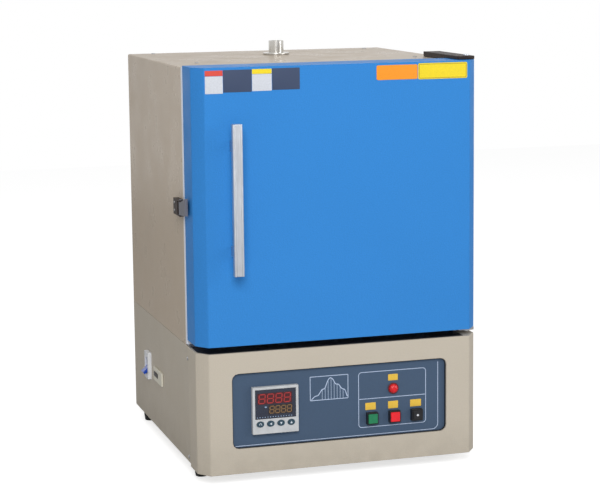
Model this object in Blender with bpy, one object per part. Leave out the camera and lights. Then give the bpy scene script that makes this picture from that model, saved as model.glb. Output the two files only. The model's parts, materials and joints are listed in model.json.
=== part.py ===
"""Bench-top box furnace: insulated muffle, swinging front door, switchgear base.

Metres, +Z up. While it is laid out, x = 0 is the middle of the casing, y = 0 the rear edge of
the closed door, z = 0 the surface that the feet stand on, and the front faces -Y. The empty
"furnace" then carries everything to a frame whose origin is the middle of the footprint.
"""

import math

import bmesh
import bpy
from mathutils import Matrix, Vector

# Clearances
SEAT = 0.0003
RUNNING = 0.0003
SLIDING = 0.0003
OVERRUN = 0.002

# Casing
CASING_WIDTH = 0.450
CASING_DEPTH = 0.3975
CASING_HEIGHT = 0.4255
BASE_HEIGHT = 0.1843
FOOT_HEIGHT = 0.0196
SHEET = 0.0015
SHEET_BEND = 0.0025
STRIP_DEPTH = 0.0085
DOOR_GAP = 0.0025

# Feet
FOOT_RADIUS = 0.0105
FOOT_TIP_RADIUS = 0.009
FOOT_INSET = 0.017
FOOT_FRONT_Y = -0.004
FOOT_REAR_INSET = 0.0355

# Door
DOOR_SIDE_DEPTH = 0.0491
CORNER_WIDTH = 0.0157
CORNER_DEPTH = 0.0213
CORNER_BEND = 0.004
DOOR_BOTTOM_GAP = 0.0101
DOOR_TOP_RISE = 0.0029
LINER_SHEET = 0.0015
LINER_RECESS = 0.0005
BOARD_DEPTH = 0.0385
BOARD_CLEARANCE = 0.0095
PLUG_TIP_TAPER = 0.012
PLUG_REACH = 0.022
PLUG_MARGIN = 0.006

# Hinges
PIVOT_INSET = 0.011
PIVOT_Y = -0.042
PIN_RADIUS = 0.004
PIN_HEAD_RADIUS = 0.005
PIN_HEAD_HEIGHT = 0.0022
ARM_WIDTH = 0.028
ARM_THICKNESS = 0.005
ARM_NOSE = 0.011
ARM_BEND = 0.004
ARM_CLEARANCE = 0.0005
UPPER_ARM_REAR = 0.098
UPPER_PACKER_FRONT = 0.004
LOWER_ARM_REAR = -0.0065
LOWER_PACKER_FRONT = -0.032
HINGE_BLOCK_WIDTH = 0.0175
HINGE_BLOCK_DEPTH = 0.012
HINGE_BLOCK_HEIGHT = 0.016

# Handle
HANDLE_INSET = 0.0573
HANDLE_RISE = 0.2237
HANDLE_LENGTH = 0.226
HANDLE_WIDTH = 0.0152
HANDLE_DEPTH = 0.012
HANDLE_ROUND = 0.0018
HANDLE_GROOVE_WIDTH = 0.0096
HANDLE_GROOVE_DEPTH = 0.0014
HANDLE_STANDOFF = 0.020
LEG_INSET = 0.03425
LEG_WIDTH = 0.008
LEG_HEIGHT = 0.016

# Side latch
LATCH_RISE = 0.2129
LATCH_HEIGHT = 0.0245
LATCH_STAND = 0.0085
LATCH_BRACKET_FRONT = 0.0135
LATCH_BRACKET_REAR = 0.040
LATCH_EAR = 0.002
LATCH_EAR_REACH = 0.0145
LATCH_AXIS_Y = 0.004
LATCH_AXIS_STAND = 0.0048
LATCH_PIN_RADIUS = 0.0015
LATCH_KNUCKLE_RADIUS = 0.0034
LATCH_LEVER_LENGTH = 0.039
LATCH_LEVER_NECK = 0.0075
LATCH_TIP_TOP = 0.0191
LATCH_TIP_BOTTOM = 0.0073
LATCH_LEVER_THICKNESS = 0.0048
LATCH_HEAD_RADIUS = 0.0028
LATCH_HEAD_HEIGHT = 0.0012

# Muffle
CHAMBER_WIDTH = 0.220
CHAMBER_HEIGHT = 0.220
CHAMBER_DEPTH = 0.2885
FLOOR_INSULATION = 0.090
SIDE_AIR_GAP = 0.024
TOP_AIR_GAP = 0.015
REAR_AIR_GAP = 0.0165
CASE_SHEET = 0.0012
RAIL_WIDTH = 0.020
RAIL_HEIGHT = 0.014
RAIL_SPACING = 0.300
MOUTH_MARGIN = 0.002
GASKET_MARGIN = 0.004
GASKET_WIDTH = 0.014
GASKET_THICKNESS = 0.002
HEARTH_THICKNESS = 0.010
HEARTH_MARGIN = 0.010
HEARTH_FRONT = 0.040
HEARTH_REAR_GAP = 0.015
ELEMENT_RADIUS = 0.003
ELEMENT_PITCH = 0.034
ELEMENT_RUNS = 6
ELEMENT_FRONT = 0.045
ELEMENT_REAR_GAP = 0.025
ELEMENT_TAIL = 0.010
ELEMENT_HOLE_RADIUS = 0.005
PROBE_RADIUS = 0.004
PROBE_BELOW_CEILING = 0.020
PROBE_REACH = 0.060
PROBE_HEAD_RADIUS = 0.011
PROBE_HEAD_LENGTH = 0.0115

# Exhaust
EXHAUST_INSET = 0.030
EXHAUST_RADIUS = 0.0125
EXHAUST_WALL = 0.0025
EXHAUST_RISE = 0.0233
FLANGE_RADIUS = 0.022
FLANGE_THICKNESS = 0.003

# Base front and control panel
BEZEL_DROP = 0.0036
BEZEL_REAR = -0.006
BEZEL_TOP_STEP = 0.0004
WINDOW_X = -0.0015
WINDOW_RISE = 0.0968
WINDOW_WIDTH = 0.345
WINDOW_HEIGHT = 0.1165
WINDOW_ROUND = 0.010
WINDOW_LIP_DEPTH = 0.0055
PANEL_THICKNESS = 0.002
PANEL_MARGIN = 0.010
TONGUE_FRONT = -0.048
TONGUE_MARGIN = 0.004

# Temperature controller
CONTROLLER_INSET = 0.067
CONTROLLER_DROP = 0.0009
CONTROLLER_SIZE = 0.0725
CONTROLLER_PROUD = 0.008
CONTROLLER_RIM = 0.0025
CONTROLLER_CASE_DEPTH = 0.080
DISPLAY_MARGIN = 0.0043
DISPLAY_KEY_GAP = 0.0036
DISPLAY_THICKNESS = 0.002
DISPLAY_RECESS = 0.0004
KEY_COUNT = 4
KEY_PITCH = 0.0163
KEY_RADIUS_X = 0.0057
KEY_RADIUS_Z = 0.0044
KEY_ABOVE_EDGE = 0.0152
KEY_PROUD = 0.0012
KEY_LENGTH = 0.0045
KEY_TRAVEL = 0.0008

# Push buttons and lamp
BUTTON_PITCH = 0.0365
STOP_BUTTON_INSET = 0.0854
BUTTON_DROP = 0.0283
BUTTON_SIZE = 0.018
BUTTON_PROUD = 0.008
BUTTON_BARREL_RADIUS = 0.0079
BUTTON_BARREL_LENGTH = 0.025
BUTTON_RIM = 0.0013
BUTTON_FLOOR = 0.0012
BUTTON_CAP_PROUD = 0.0015
BUTTON_STEM_RADIUS = 0.0035
BUTTON_STEM_LENGTH = 0.012
BUTTON_TRAVEL = 0.003
LAMP_INSET = 0.0862
LAMP_LIFT = 0.0155
LAMP_FLANGE_RADIUS = 0.0088
LAMP_FLANGE_THICKNESS = 0.0025
LAMP_DOME_RADIUS = 0.0076
LAMP_DOME_HEIGHT = 0.0045

# Circuit breaker on the left side
BREAKER_Y = 0.2785
BREAKER_RISE = 0.100
BREAKER_NOSE_WIDTH = 0.027
BREAKER_NOSE_HEIGHT = 0.045
BREAKER_PROUD = 0.006
BREAKER_BODY_WIDTH = 0.036
BREAKER_BODY_HEIGHT = 0.080
BREAKER_BODY_DEPTH = 0.058
BREAKER_SLOT_WIDTH = 0.017
BREAKER_SLOT_HEIGHT = 0.027
BREAKER_AXIS_STAND = 0.003
LEVER_DRUM_RADIUS = 0.0045
LEVER_DRUM_GAP = 0.0005
LEVER_REACH = 0.0195
LEVER_THICKNESS = 0.005
LEVER_REST_DEGREES = 40.0

# Signal port on the left side
PORT_TO_BREAKER = 0.0715
PORT_RISE = 0.0955
PORT_PLATE_WIDTH = 0.060
PORT_PLATE_HEIGHT = 0.022
PORT_PLATE_THICKNESS = 0.0025
PORT_WALL = 0.0015
PORT_BODY_DEPTH = 0.010
PORT_SOCKET_SHIFT = 0.0125
PORT_SOCKET_WIDTH = 0.031
PORT_SOCKET_HEIGHT = 0.009
PORT_SOCKET_DEPTH = 0.0055

# Rear of the base: fan, gland, relay
FAN_X = 0.110
FAN_RISE = 0.096
FAN_SIZE = 0.080
FAN_DEPTH = 0.025
FAN_RIM = 0.002
FAN_STATOR_RADIUS = 0.014
FAN_STATOR_THICKNESS = 0.003
FAN_STRUT_WIDTH = 0.005
FAN_HUB_RADIUS = 0.0165
FAN_HUB_LENGTH = 0.017
FAN_HUB_GAP = 0.0005
FAN_BLADES = 7
FAN_BLADE_TIP_GAP = 0.0015
FAN_BLADE_THICKNESS = 0.0016
FAN_BLADE_DEGREES = 38.0
FAN_BLADE_CHORD = 0.017
GRILLE_SLOTS = 9
GRILLE_SLOT_WIDTH = 0.0045
GRILLE_PITCH = 0.0085
GLAND_X = -0.150
GLAND_RISE = 0.059
GLAND_FLANGE_RADIUS = 0.012
GLAND_NECK_RADIUS = 0.0085
GLAND_THREAD_RADIUS = 0.008
GLAND_BORE_RADIUS = 0.005
GLAND_FLANGE_LENGTH = 0.007
GLAND_LENGTH = 0.018
GLAND_THREAD_LENGTH = 0.012
VENT_SLOTS = 12
VENT_SLOT_WIDTH = 0.004
VENT_SLOT_HEIGHT = 0.060
VENT_PITCH = 0.014
VENT_TOP_MARGIN = 0.045
RELAY_WIDTH = 0.045
RELAY_LENGTH = 0.058
RELAY_HEIGHT = 0.028
RELAY_X = 0.060
RELAY_Y = 0.200

# Segments of round pieces
FINE = 32
COARSE = 20
BEND_STEPS = 3

# Places that follow from the sizes
HALF_WIDTH = CASING_WIDTH / 2
BASE_TOP = FOOT_HEIGHT + BASE_HEIGHT
CASING_TOP = BASE_TOP + CASING_HEIGHT
DOOR_FRONT = -(DOOR_SIDE_DEPTH + CORNER_DEPTH)
DOOR_BOTTOM = BASE_TOP + DOOR_BOTTOM_GAP
DOOR_TOP = CASING_TOP + DOOR_TOP_RISE
FRAME_REAR = DOOR_GAP + STRIP_DEPTH
WRAP_FRONT = FRAME_REAR + SEAT
REAR_SKIN = CASING_DEPTH - SHEET
INSIDE = HALF_WIDTH - SHEET - SEAT
DECK_BOTTOM = BASE_TOP + SEAT
DECK_TOP = DECK_BOTTOM + SHEET
CASE_BOTTOM = DECK_TOP + RAIL_HEIGHT + SEAT
CASE_TOP = CASING_TOP - SHEET - TOP_AIR_GAP
CASE_REAR = REAR_SKIN - REAR_AIR_GAP
CASE_HALF = HALF_WIDTH - SHEET - SIDE_AIR_GAP
CASE_WALL = CASE_SHEET + SEAT
LAGGING_BOTTOM = CASE_BOTTOM + CASE_WALL
LAGGING_TOP = CASE_TOP - CASE_WALL
LAGGING_REAR = CASE_REAR - CASE_WALL
LAGGING_HALF = CASE_HALF - CASE_WALL
CHAMBER_HALF = CHAMBER_WIDTH / 2
CHAMBER_FLOOR = LAGGING_BOTTOM + FLOOR_INSULATION
CHAMBER_CEILING = CHAMBER_FLOOR + CHAMBER_HEIGHT
CHAMBER_Z = CHAMBER_FLOOR + CHAMBER_HEIGHT / 2
CHAMBER_REAR = WRAP_FRONT + CHAMBER_DEPTH
EXHAUST_Y = CHAMBER_REAR - EXHAUST_INSET
PROBE_Z = CHAMBER_CEILING - PROBE_BELOW_CEILING
PIVOT_X = HALF_WIDTH - PIVOT_INSET
PIN_HOLE = PIN_RADIUS + RUNNING
HANDLE_X = -HALF_WIDTH + HANDLE_INSET
HANDLE_Z = DOOR_BOTTOM + HANDLE_RISE
HANDLE_FRONT = DOOR_FRONT - HANDLE_STANDOFF - HANDLE_DEPTH
LATCH_Z = BASE_TOP + LATCH_RISE
LATCH_AXIS_X = -(HALF_WIDTH + LATCH_AXIS_STAND)
BEZEL_TOP = BASE_TOP - BEZEL_TOP_STEP
BEZEL_BOTTOM = FOOT_HEIGHT - BEZEL_DROP
WINDOW_Z = BEZEL_BOTTOM + WINDOW_RISE
WINDOW_LEFT = WINDOW_X - WINDOW_WIDTH / 2
WINDOW_RIGHT = WINDOW_X + WINDOW_WIDTH / 2
PANEL_FRONT = DOOR_FRONT + WINDOW_LIP_DEPTH + SEAT
PANEL_SEAT = PANEL_FRONT - SEAT
PANEL_HOLE_RADIUS = BUTTON_BARREL_RADIUS + SEAT
CONTROLLER_X = WINDOW_LEFT + CONTROLLER_INSET
CONTROLLER_Z = WINDOW_Z - CONTROLLER_DROP
CONTROLLER_CASE = CONTROLLER_SIZE - CONTROLLER_RIM - CONTROLLER_RIM
CONTROLLER_FACE = PANEL_SEAT - CONTROLLER_PROUD
KEY_Z = CONTROLLER_Z - CONTROLLER_SIZE / 2 + KEY_ABOVE_EDGE
STOP_BUTTON_X = WINDOW_RIGHT - STOP_BUTTON_INSET
BUTTON_Z = WINDOW_Z - BUTTON_DROP
LAMP_X = WINDOW_RIGHT - LAMP_INSET
LAMP_Z = WINDOW_Z + LAMP_LIFT
BREAKER_Z = BEZEL_BOTTOM + BREAKER_RISE
BREAKER_AXIS_X = -(HALF_WIDTH - BREAKER_AXIS_STAND)
PORT_Z = BEZEL_BOTTOM + PORT_RISE
PORT_Y = BREAKER_Y - PORT_TO_BREAKER
SOCKET_Y = PORT_Y + PORT_SOCKET_SHIFT
FAN_Z = BEZEL_BOTTOM + FAN_RISE
FAN_REAR = REAR_SKIN - SEAT
FAN_BORE_RADIUS = FAN_SIZE / 2 - FAN_RIM
GLAND_Z = BEZEL_BOTTOM + GLAND_RISE
GLAND_REAR = CASING_DEPTH + SEAT + GLAND_LENGTH
LEVER_REST = math.radians(LEVER_REST_DEGREES)
LEVER_TIP_STAND = LEVER_REACH * math.cos(LEVER_REST) + LEVER_THICKNESS * math.sin(LEVER_REST) / 2
LEFT_REACH = HALF_WIDTH - BREAKER_AXIS_STAND + LEVER_TIP_STAND

# The furnace's own frame: the middle of the footprint, on the surface it stands on
FURNACE = "furnace"
MIDDLE_X = (HALF_WIDTH - LEFT_REACH) / 2
MIDDLE_Y = (HANDLE_FRONT + GLAND_REAR) / 2
AXES = {FURNACE: Vector((0.0, 0.0, 0.0))}


def clear_scene():
    for item in list(bpy.data.objects):
        bpy.data.objects.remove(item)


def finish(name, colour, roughness, metallic=0.0):
    """A plain Principled material."""
    material = bpy.data.materials.new(name)
    material.use_nodes = True
    shader = material.node_tree.nodes["Principled BSDF"]
    shader.inputs["Base Color"].default_value = (*colour, 1.0)
    shader.inputs["Roughness"].default_value = roughness
    shader.inputs["Metallic"].default_value = metallic
    return material


def add_axis(name, place):
    """An empty at a joint, given by its place in the layout frame."""
    empty = bpy.data.objects.new(name, None)
    bpy.context.scene.collection.objects.link(empty)
    AXES[name] = Vector(place)
    if name == FURNACE:
        empty.location = (-MIDDLE_X, -MIDDLE_Y, 0.0)
        return
    empty.parent = bpy.data.objects[FURNACE]
    empty.location = AXES[name]


def add_object(name, data, place, material, parent):
    """Link an object whose origin is at place, in the layout frame, and hang it on its parent."""
    made = bpy.data.objects.new(name, data)
    bpy.context.scene.collection.objects.link(made)
    made.parent = bpy.data.objects[parent]
    made.location = Vector(place) - AXES[parent]
    if material:
        data.materials.append(material)
    return made


def mesh_from(bm, name, smooth=False):
    bmesh.ops.recalc_face_normals(bm, faces=bm.faces)
    mesh = bpy.data.meshes.new(name)
    bm.to_mesh(mesh)
    bm.free()
    if smooth:
        mesh.shade_smooth()
        mesh.set_sharp_from_angle(angle=math.radians(35))
    return mesh


def middle(span):
    return (span[0] + span[1]) / 2


def block(name, x, y, z, material=None, parent=FURNACE):
    """A box given by its spans, with its origin in its middle."""
    bm = bmesh.new()
    bmesh.ops.create_cube(bm, size=1)
    size = (x[1] - x[0], y[1] - y[0], z[1] - z[0])
    bmesh.ops.scale(bm, vec=size, verts=bm.verts)
    place = (middle(x), middle(y), middle(z))
    return add_object(name, mesh_from(bm, name), place, material, parent)


def around(centre, width):
    return (centre - width / 2, centre + width / 2)


def oriented(axis, u, v, along):
    """A point from its two outline coordinates and its distance along the axis."""
    return {"X": (along, u, v), "Y": (u, along, v), "Z": (u, v, along)}[axis]


def prism(name, outline, axis, span, material=None, parent=FURNACE, smooth=False, place=None):
    """An outline extruded along an axis. Its origin is at place, or at the axis's mid-span."""
    place = Vector(place or oriented(axis, 0.0, 0.0, middle(span)))
    bm = bmesh.new()
    ring = [bm.verts.new(Vector(oriented(axis, u, v, span[0])) - place) for u, v in outline]
    face = bm.faces.new(ring)
    grown = bmesh.ops.extrude_face_region(bm, geom=[face])
    moved = [item for item in grown["geom"] if isinstance(item, bmesh.types.BMVert)]
    shift = Vector(oriented(axis, 0.0, 0.0, span[1] - span[0]))
    bmesh.ops.translate(bm, vec=shift, verts=moved)
    return add_object(name, mesh_from(bm, name, smooth), place, material, parent)


def arc(centre, radius_u, radius_v, start, end, steps):
    """Points on an elliptical arc, both ends included, angles in radians."""
    points = []
    for step in range(steps + 1):
        angle = start + (end - start) * step / steps
        points.append((centre[0] + radius_u * math.cos(angle), centre[1] + radius_v * math.sin(angle)))
    return points


def oval(centre, radius_u, radius_v, segments):
    return arc(centre, radius_u, radius_v, 0.0, 2 * math.pi, segments)[:-1]


def rod(name, centre, radius, axis, span, material=None, parent=FURNACE, segments=FINE):
    """A round bar or a round cutter."""
    place = oriented(axis, centre[0], centre[1], middle(span))
    return prism(
        name, oval(centre, radius, radius, segments), axis, span, material, parent, True, place
    )


def rounded_rectangle(centre, width, height, radius):
    """The outline of a rectangle with round corners."""
    u, v = width / 2 - radius, height / 2 - radius
    points = []
    for quarter, (su, sv) in enumerate(((1, 1), (-1, 1), (-1, -1), (1, -1))):
        start = quarter * math.pi / 2
        corner = (centre[0] + su * u, centre[1] + sv * v)
        points += arc(corner, radius, radius, start, start + math.pi / 2, BEND_STEPS)
    return points


def with_bends(outline, radius):
    """Round each corner of an outline, except where the radius is zero. One radius per point."""
    points = []
    count = len(outline)
    for index, here in enumerate(outline):
        if not radius[index]:
            points.append(here)
            continue
        here = Vector(here)
        back = (Vector(outline[index - 1]) - here).normalized()
        ahead = (Vector(outline[(index + 1) % count]) - here).normalized()
        half = back.angle(ahead) / 2
        centre = here + (back + ahead).normalized() * radius[index] / math.sin(half)
        first = here + back * radius[index] / math.tan(half) - centre
        last = here + ahead * radius[index] / math.tan(half) - centre
        turn = first.angle_signed(last)
        for step in range(BEND_STEPS + 1):
            angle = -turn * step / BEND_STEPS
            points.append(tuple(centre + Matrix.Rotation(angle, 2) @ first))
    return points


def turned(name, profile, axis, centre, material, parent=FURNACE, segments=FINE, bored=False):
    """A turned piece: (radius, along) points, ends on the axis, or a closed loop round a bore."""
    place = Vector(oriented(axis, centre[0], centre[1], profile[0][1]))
    bm = bmesh.new()
    rings = []
    for radius, along in profile:
        sides = segments if radius else 1
        ring = []
        for u, v in oval(centre, radius, radius, sides):
            ring.append(bm.verts.new(Vector(oriented(axis, u, v, along)) - place))
        rings.append(ring)
    pairs = list(zip(rings, rings[1:]))
    if bored:
        pairs.append((rings[-1], rings[0]))
    for lower, upper in pairs:
        for index in range(segments):
            after = (index + 1) % segments
            corners = [
                lower[index % len(lower)],
                lower[after % len(lower)],
                upper[after % len(upper)],
                upper[index % len(upper)],
            ]
            bm.faces.new(list(dict.fromkeys(corners)))
    return add_object(name, mesh_from(bm, name, True), place, material, parent)


def hide(tool):
    tool.hide_render = True
    tool.display_type = "WIRE"


def combine(target, tool, operation):
    hide(tool)
    modifier = target.modifiers.new(tool.name, "BOOLEAN")
    modifier.operation = operation
    modifier.solver = "EXACT"
    modifier.object = tool
    return target


def cut(target, tool):
    return combine(target, tool, "DIFFERENCE")


def weld(target, tool):
    return combine(target, tool, "UNION")


def past(span, low=True, high=True):
    """A span lengthened by the overrun at its chosen ends, for a cutter."""
    return (span[0] - OVERRUN * low, span[1] + OVERRUN * high)


def slots(name, x_middle, count, pitch, width, y, z, parent=FURNACE):
    """A row of upright slot cutters in one mesh."""
    bm = bmesh.new()
    for index in range(count):
        centre = x_middle + (index - (count - 1) / 2) * pitch
        made = bmesh.ops.create_cube(bm, size=1)["verts"]
        bmesh.ops.scale(bm, vec=(width, y[1] - y[0], z[1] - z[0]), verts=made)
        bmesh.ops.translate(bm, vec=(centre - x_middle, 0.0, 0.0), verts=made)
    return add_object(name, mesh_from(bm, name), (x_middle, middle(y), middle(z)), None, parent)


def front_outline(rear, inset):
    """The plan of the door and of the base front: straight sides, a slanted band, a flat front."""
    turn = math.atan2(CORNER_WIDTH, CORNER_DEPTH)
    side_shift = inset * math.tan(turn / 2)
    front_shift = inset * math.tan((math.pi / 2 - turn) / 2)
    side = HALF_WIDTH - inset
    band_rear = -DOOR_SIDE_DEPTH + side_shift
    band_side = HALF_WIDTH - CORNER_WIDTH - front_shift
    front = DOOR_FRONT + inset
    outline = [
        (-side, rear),
        (-side, band_rear),
        (-band_side, front),
        (band_side, front),
        (side, band_rear),
        (side, rear),
    ]
    bend = CORNER_BEND - inset
    return with_bends(outline, [0.0, bend, bend, bend, bend, 0.0])


def around_chamber(name, grow, y, material=None, parent=FURNACE):
    """A block with the chamber's outline as seen from the front, grown by the same length all round."""
    half_x = CHAMBER_HALF + grow
    half_z = CHAMBER_HEIGHT / 2 + grow
    z = (CHAMBER_Z - half_z, CHAMBER_Z + half_z)
    return block(name, (-half_x, half_x), y, z, material, parent)


def u_profile(half, closed_v, open_v, sheet):
    """A U of bent sheet, its web at closed_v and its two free edges at open_v."""
    side = 1 if closed_v > open_v else -1
    web = closed_v - side * sheet
    outline = [
        (-half, open_v),
        (-half, closed_v),
        (half, closed_v),
        (half, open_v),
        (half - sheet, open_v),
        (half - sheet, web),
        (-half + sheet, web),
        (-half + sheet, open_v),
    ]
    inner_bend = SHEET_BEND - sheet
    return with_bends(
        outline, [0.0, SHEET_BEND, SHEET_BEND, 0.0, 0.0, inner_bend, inner_bend, 0.0]
    )


def build_casing(beige, steel, white):
    wrap = prism(
        "cabinet_wrap",
        u_profile(HALF_WIDTH, CASING_TOP, DECK_BOTTOM, SHEET),
        "Y",
        (WRAP_FRONT, CASING_DEPTH),
        beige,
    )
    skin = past((CASING_TOP - SHEET, CASING_TOP))
    hole = EXHAUST_RADIUS + SEAT
    cut(wrap, rod("wrap_exhaust_hole", (0.0, EXHAUST_Y), hole, "Z", skin))

    rear = block(
        "cabinet_rear_panel",
        (-INSIDE, INSIDE),
        (REAR_SKIN, CASING_DEPTH),
        (DECK_TOP + SEAT, CASING_TOP - SHEET - SEAT),
        beige,
    )
    vent_top = CASING_TOP - VENT_TOP_MARGIN
    cut(
        rear,
        slots(
            "cabinet_vents",
            0.0,
            VENT_SLOTS,
            VENT_PITCH,
            VENT_SLOT_WIDTH,
            past((REAR_SKIN, CASING_DEPTH)),
            (vent_top - VENT_SLOT_HEIGHT, vent_top),
        ),
    )

    deck_y = (BEZEL_REAR + SEAT, CASING_DEPTH)
    deck = block("deck_plate", (-INSIDE, INSIDE), deck_y, (DECK_BOTTOM, DECK_TOP), steel)
    for side in (-1, 1):
        rail = block(
            f"deck_rail_{side}",
            around(side * RAIL_SPACING / 2, RAIL_WIDTH),
            (WRAP_FRONT, CASE_REAR),
            (DECK_TOP - SHEET / 2, DECK_TOP + RAIL_HEIGHT),
        )
        weld(deck, rail)

    frame_z = (DECK_TOP + SEAT, CASING_TOP)
    frame = block("front_frame", (-HALF_WIDTH, HALF_WIDTH), (DOOR_GAP, FRAME_REAR), frame_z, white)
    pocket = block(
        "frame_pocket",
        (-HALF_WIDTH + SHEET, HALF_WIDTH - SHEET),
        (DOOR_GAP + SHEET, FRAME_REAR + OVERRUN),
        (frame_z[0] + SHEET, frame_z[1] - SHEET),
    )
    sleeve_y = past((DOOR_GAP, FRAME_REAR + OVERRUN))
    cut(pocket, around_chamber("frame_sleeve", MOUTH_MARGIN + SHEET, sleeve_y))
    cut(frame, pocket)
    cut(frame, around_chamber("frame_mouth", MOUTH_MARGIN, past((DOOR_GAP, FRAME_REAR))))


def build_gasket(fibre):
    y = (DOOR_GAP - SEAT - GASKET_THICKNESS, DOOR_GAP - SEAT)
    ring = around_chamber("door_gasket", GASKET_MARGIN + GASKET_WIDTH, y, fibre)
    cut(ring, around_chamber("gasket_hole", GASKET_MARGIN, past(y)))


def element_height(run):
    return CHAMBER_Z + (run - (ELEMENT_RUNS - 1) / 2) * ELEMENT_PITCH


def element_route(x):
    """The element's centre line: up-and-down runs along the wall, joined by half turns."""
    radius = ELEMENT_PITCH / 2
    tail = CASE_REAR + ELEMENT_TAIL
    points = [(x, tail, element_height(0))]
    for run in range(ELEMENT_RUNS - 1):
        turn_z = element_height(run) + radius
        forward = run % 2 == 0
        rear = CHAMBER_REAR - ELEMENT_REAR_GAP - radius
        turn_y = ELEMENT_FRONT + radius if forward else rear
        sign = -1 if forward else 1
        for y, z in arc((turn_y, turn_z), sign * radius, radius, -math.pi / 2, math.pi / 2, 6):
            points.append((x, y, z))
    points.append((x, tail, element_height(ELEMENT_RUNS - 1)))
    return points


def element_hole_centres():
    x = CHAMBER_HALF - SEAT - ELEMENT_RADIUS
    rows = (element_height(0), element_height(ELEMENT_RUNS - 1))
    return [(side * x, z) for side in (-1, 1) for z in rows]


def build_elements(alloy):
    x = CHAMBER_HALF - SEAT - ELEMENT_RADIUS
    for name, side in (("heating_element_left", -1), ("heating_element_right", 1)):
        curve = bpy.data.curves.new(name, "CURVE")
        curve.dimensions = "3D"
        curve.bevel_depth = ELEMENT_RADIUS
        curve.bevel_resolution = 1
        curve.use_fill_caps = True
        route = element_route(side * x)
        spline = curve.splines.new("POLY")
        spline.points.add(len(route) - 1)
        for point, place in zip(spline.points, route):
            point.co = (*place, 1.0)
        add_object(name, curve, (0.0, 0.0, 0.0), alloy, FURNACE)


def build_lagging(fibre, steel):
    half = LAGGING_HALF
    front_y = (WRAP_FRONT, CHAMBER_REAR)
    block("floor_insulation", (-half, half), front_y, (LAGGING_BOTTOM, CHAMBER_FLOOR), fibre)
    roof_z = (CHAMBER_CEILING, LAGGING_TOP)
    roof = block("roof_insulation", (-half, half), front_y, roof_z, fibre)
    exhaust = (0.0, EXHAUST_Y)
    hole = EXHAUST_RADIUS + SEAT
    cut(roof, rod("roof_exhaust_hole", exhaust, hole, "Z", past(roof_z)))
    wall_z = (CHAMBER_FLOOR + SEAT, CHAMBER_CEILING - SEAT)
    block("left_insulation", (-half, -CHAMBER_HALF), front_y, wall_z, fibre)
    block("right_insulation", (CHAMBER_HALF, half), front_y, wall_z, fibre)

    rear_y = (CHAMBER_REAR + SEAT, LAGGING_REAR)
    rear = block("rear_insulation", (-half, half), rear_y, (LAGGING_BOTTOM, LAGGING_TOP), fibre)
    case_y = (WRAP_FRONT, CASE_REAR)
    case_z = (CASE_BOTTOM, CASE_TOP)
    case = block("inner_case", (-CASE_HALF, CASE_HALF), case_y, case_z, steel)
    room = CASE_HALF - CASE_SHEET
    room_y = (WRAP_FRONT - OVERRUN, CASE_REAR - CASE_SHEET)
    room_z = (CASE_BOTTOM + CASE_SHEET, CASE_TOP - CASE_SHEET)
    cut(case, block("case_hollow", (-room, room), room_y, room_z))
    case_roof = past((CASE_TOP - CASE_SHEET, CASE_TOP))
    cut(case, rod("case_exhaust_hole", exhaust, hole, "Z", case_roof))

    through_rear = past((CHAMBER_REAR, CASE_REAR))
    bores = [("probe_hole", (0.0, PROBE_Z), PROBE_RADIUS + SEAT)]
    for index, centre in enumerate(element_hole_centres()):
        bores.append((f"element_hole_{index}", centre, ELEMENT_HOLE_RADIUS))
    for name, centre, radius in bores:
        tool = rod(name, centre, radius, "Y", through_rear, segments=COARSE)
        cut(rear, tool)
        cut(case, tool)


def build_chamber_fittings(ceramic, steel):
    half = CHAMBER_HALF - HEARTH_MARGIN
    hearth_bottom = CHAMBER_FLOOR + SEAT
    block(
        "hearth_plate",
        (-half, half),
        (HEARTH_FRONT, CHAMBER_REAR - HEARTH_REAR_GAP),
        (hearth_bottom, hearth_bottom + HEARTH_THICKNESS),
        ceramic,
    )
    tip = CHAMBER_REAR - PROBE_REACH
    shoulder = CASE_REAR + SEAT
    turned(
        "thermocouple",
        [
            (0.0, tip),
            (PROBE_RADIUS, tip),
            (PROBE_RADIUS, shoulder),
            (PROBE_HEAD_RADIUS, shoulder),
            (PROBE_HEAD_RADIUS, shoulder + PROBE_HEAD_LENGTH),
            (0.0, shoulder + PROBE_HEAD_LENGTH),
        ],
        "Y",
        (0.0, PROBE_Z),
        ceramic,
        segments=COARSE,
    )
    tube_z = (CHAMBER_CEILING, CASING_TOP + EXHAUST_RISE)
    bore = EXHAUST_RADIUS - EXHAUST_WALL
    turned(
        "exhaust_tube",
        [
            (EXHAUST_RADIUS, tube_z[0]),
            (EXHAUST_RADIUS, tube_z[1]),
            (bore, tube_z[1]),
            (bore, tube_z[0]),
        ],
        "Z",
        (0.0, EXHAUST_Y),
        steel,
        bored=True,
    )
    flange_z = (CASING_TOP + SEAT, CASING_TOP + SEAT + FLANGE_THICKNESS)
    turned(
        "exhaust_flange",
        [
            (FLANGE_RADIUS, flange_z[0]),
            (FLANGE_RADIUS, flange_z[1]),
            (EXHAUST_RADIUS + SEAT, flange_z[1]),
            (EXHAUST_RADIUS + SEAT, flange_z[0]),
        ],
        "Z",
        (0.0, EXHAUST_Y),
        steel,
        bored=True,
    )


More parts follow.
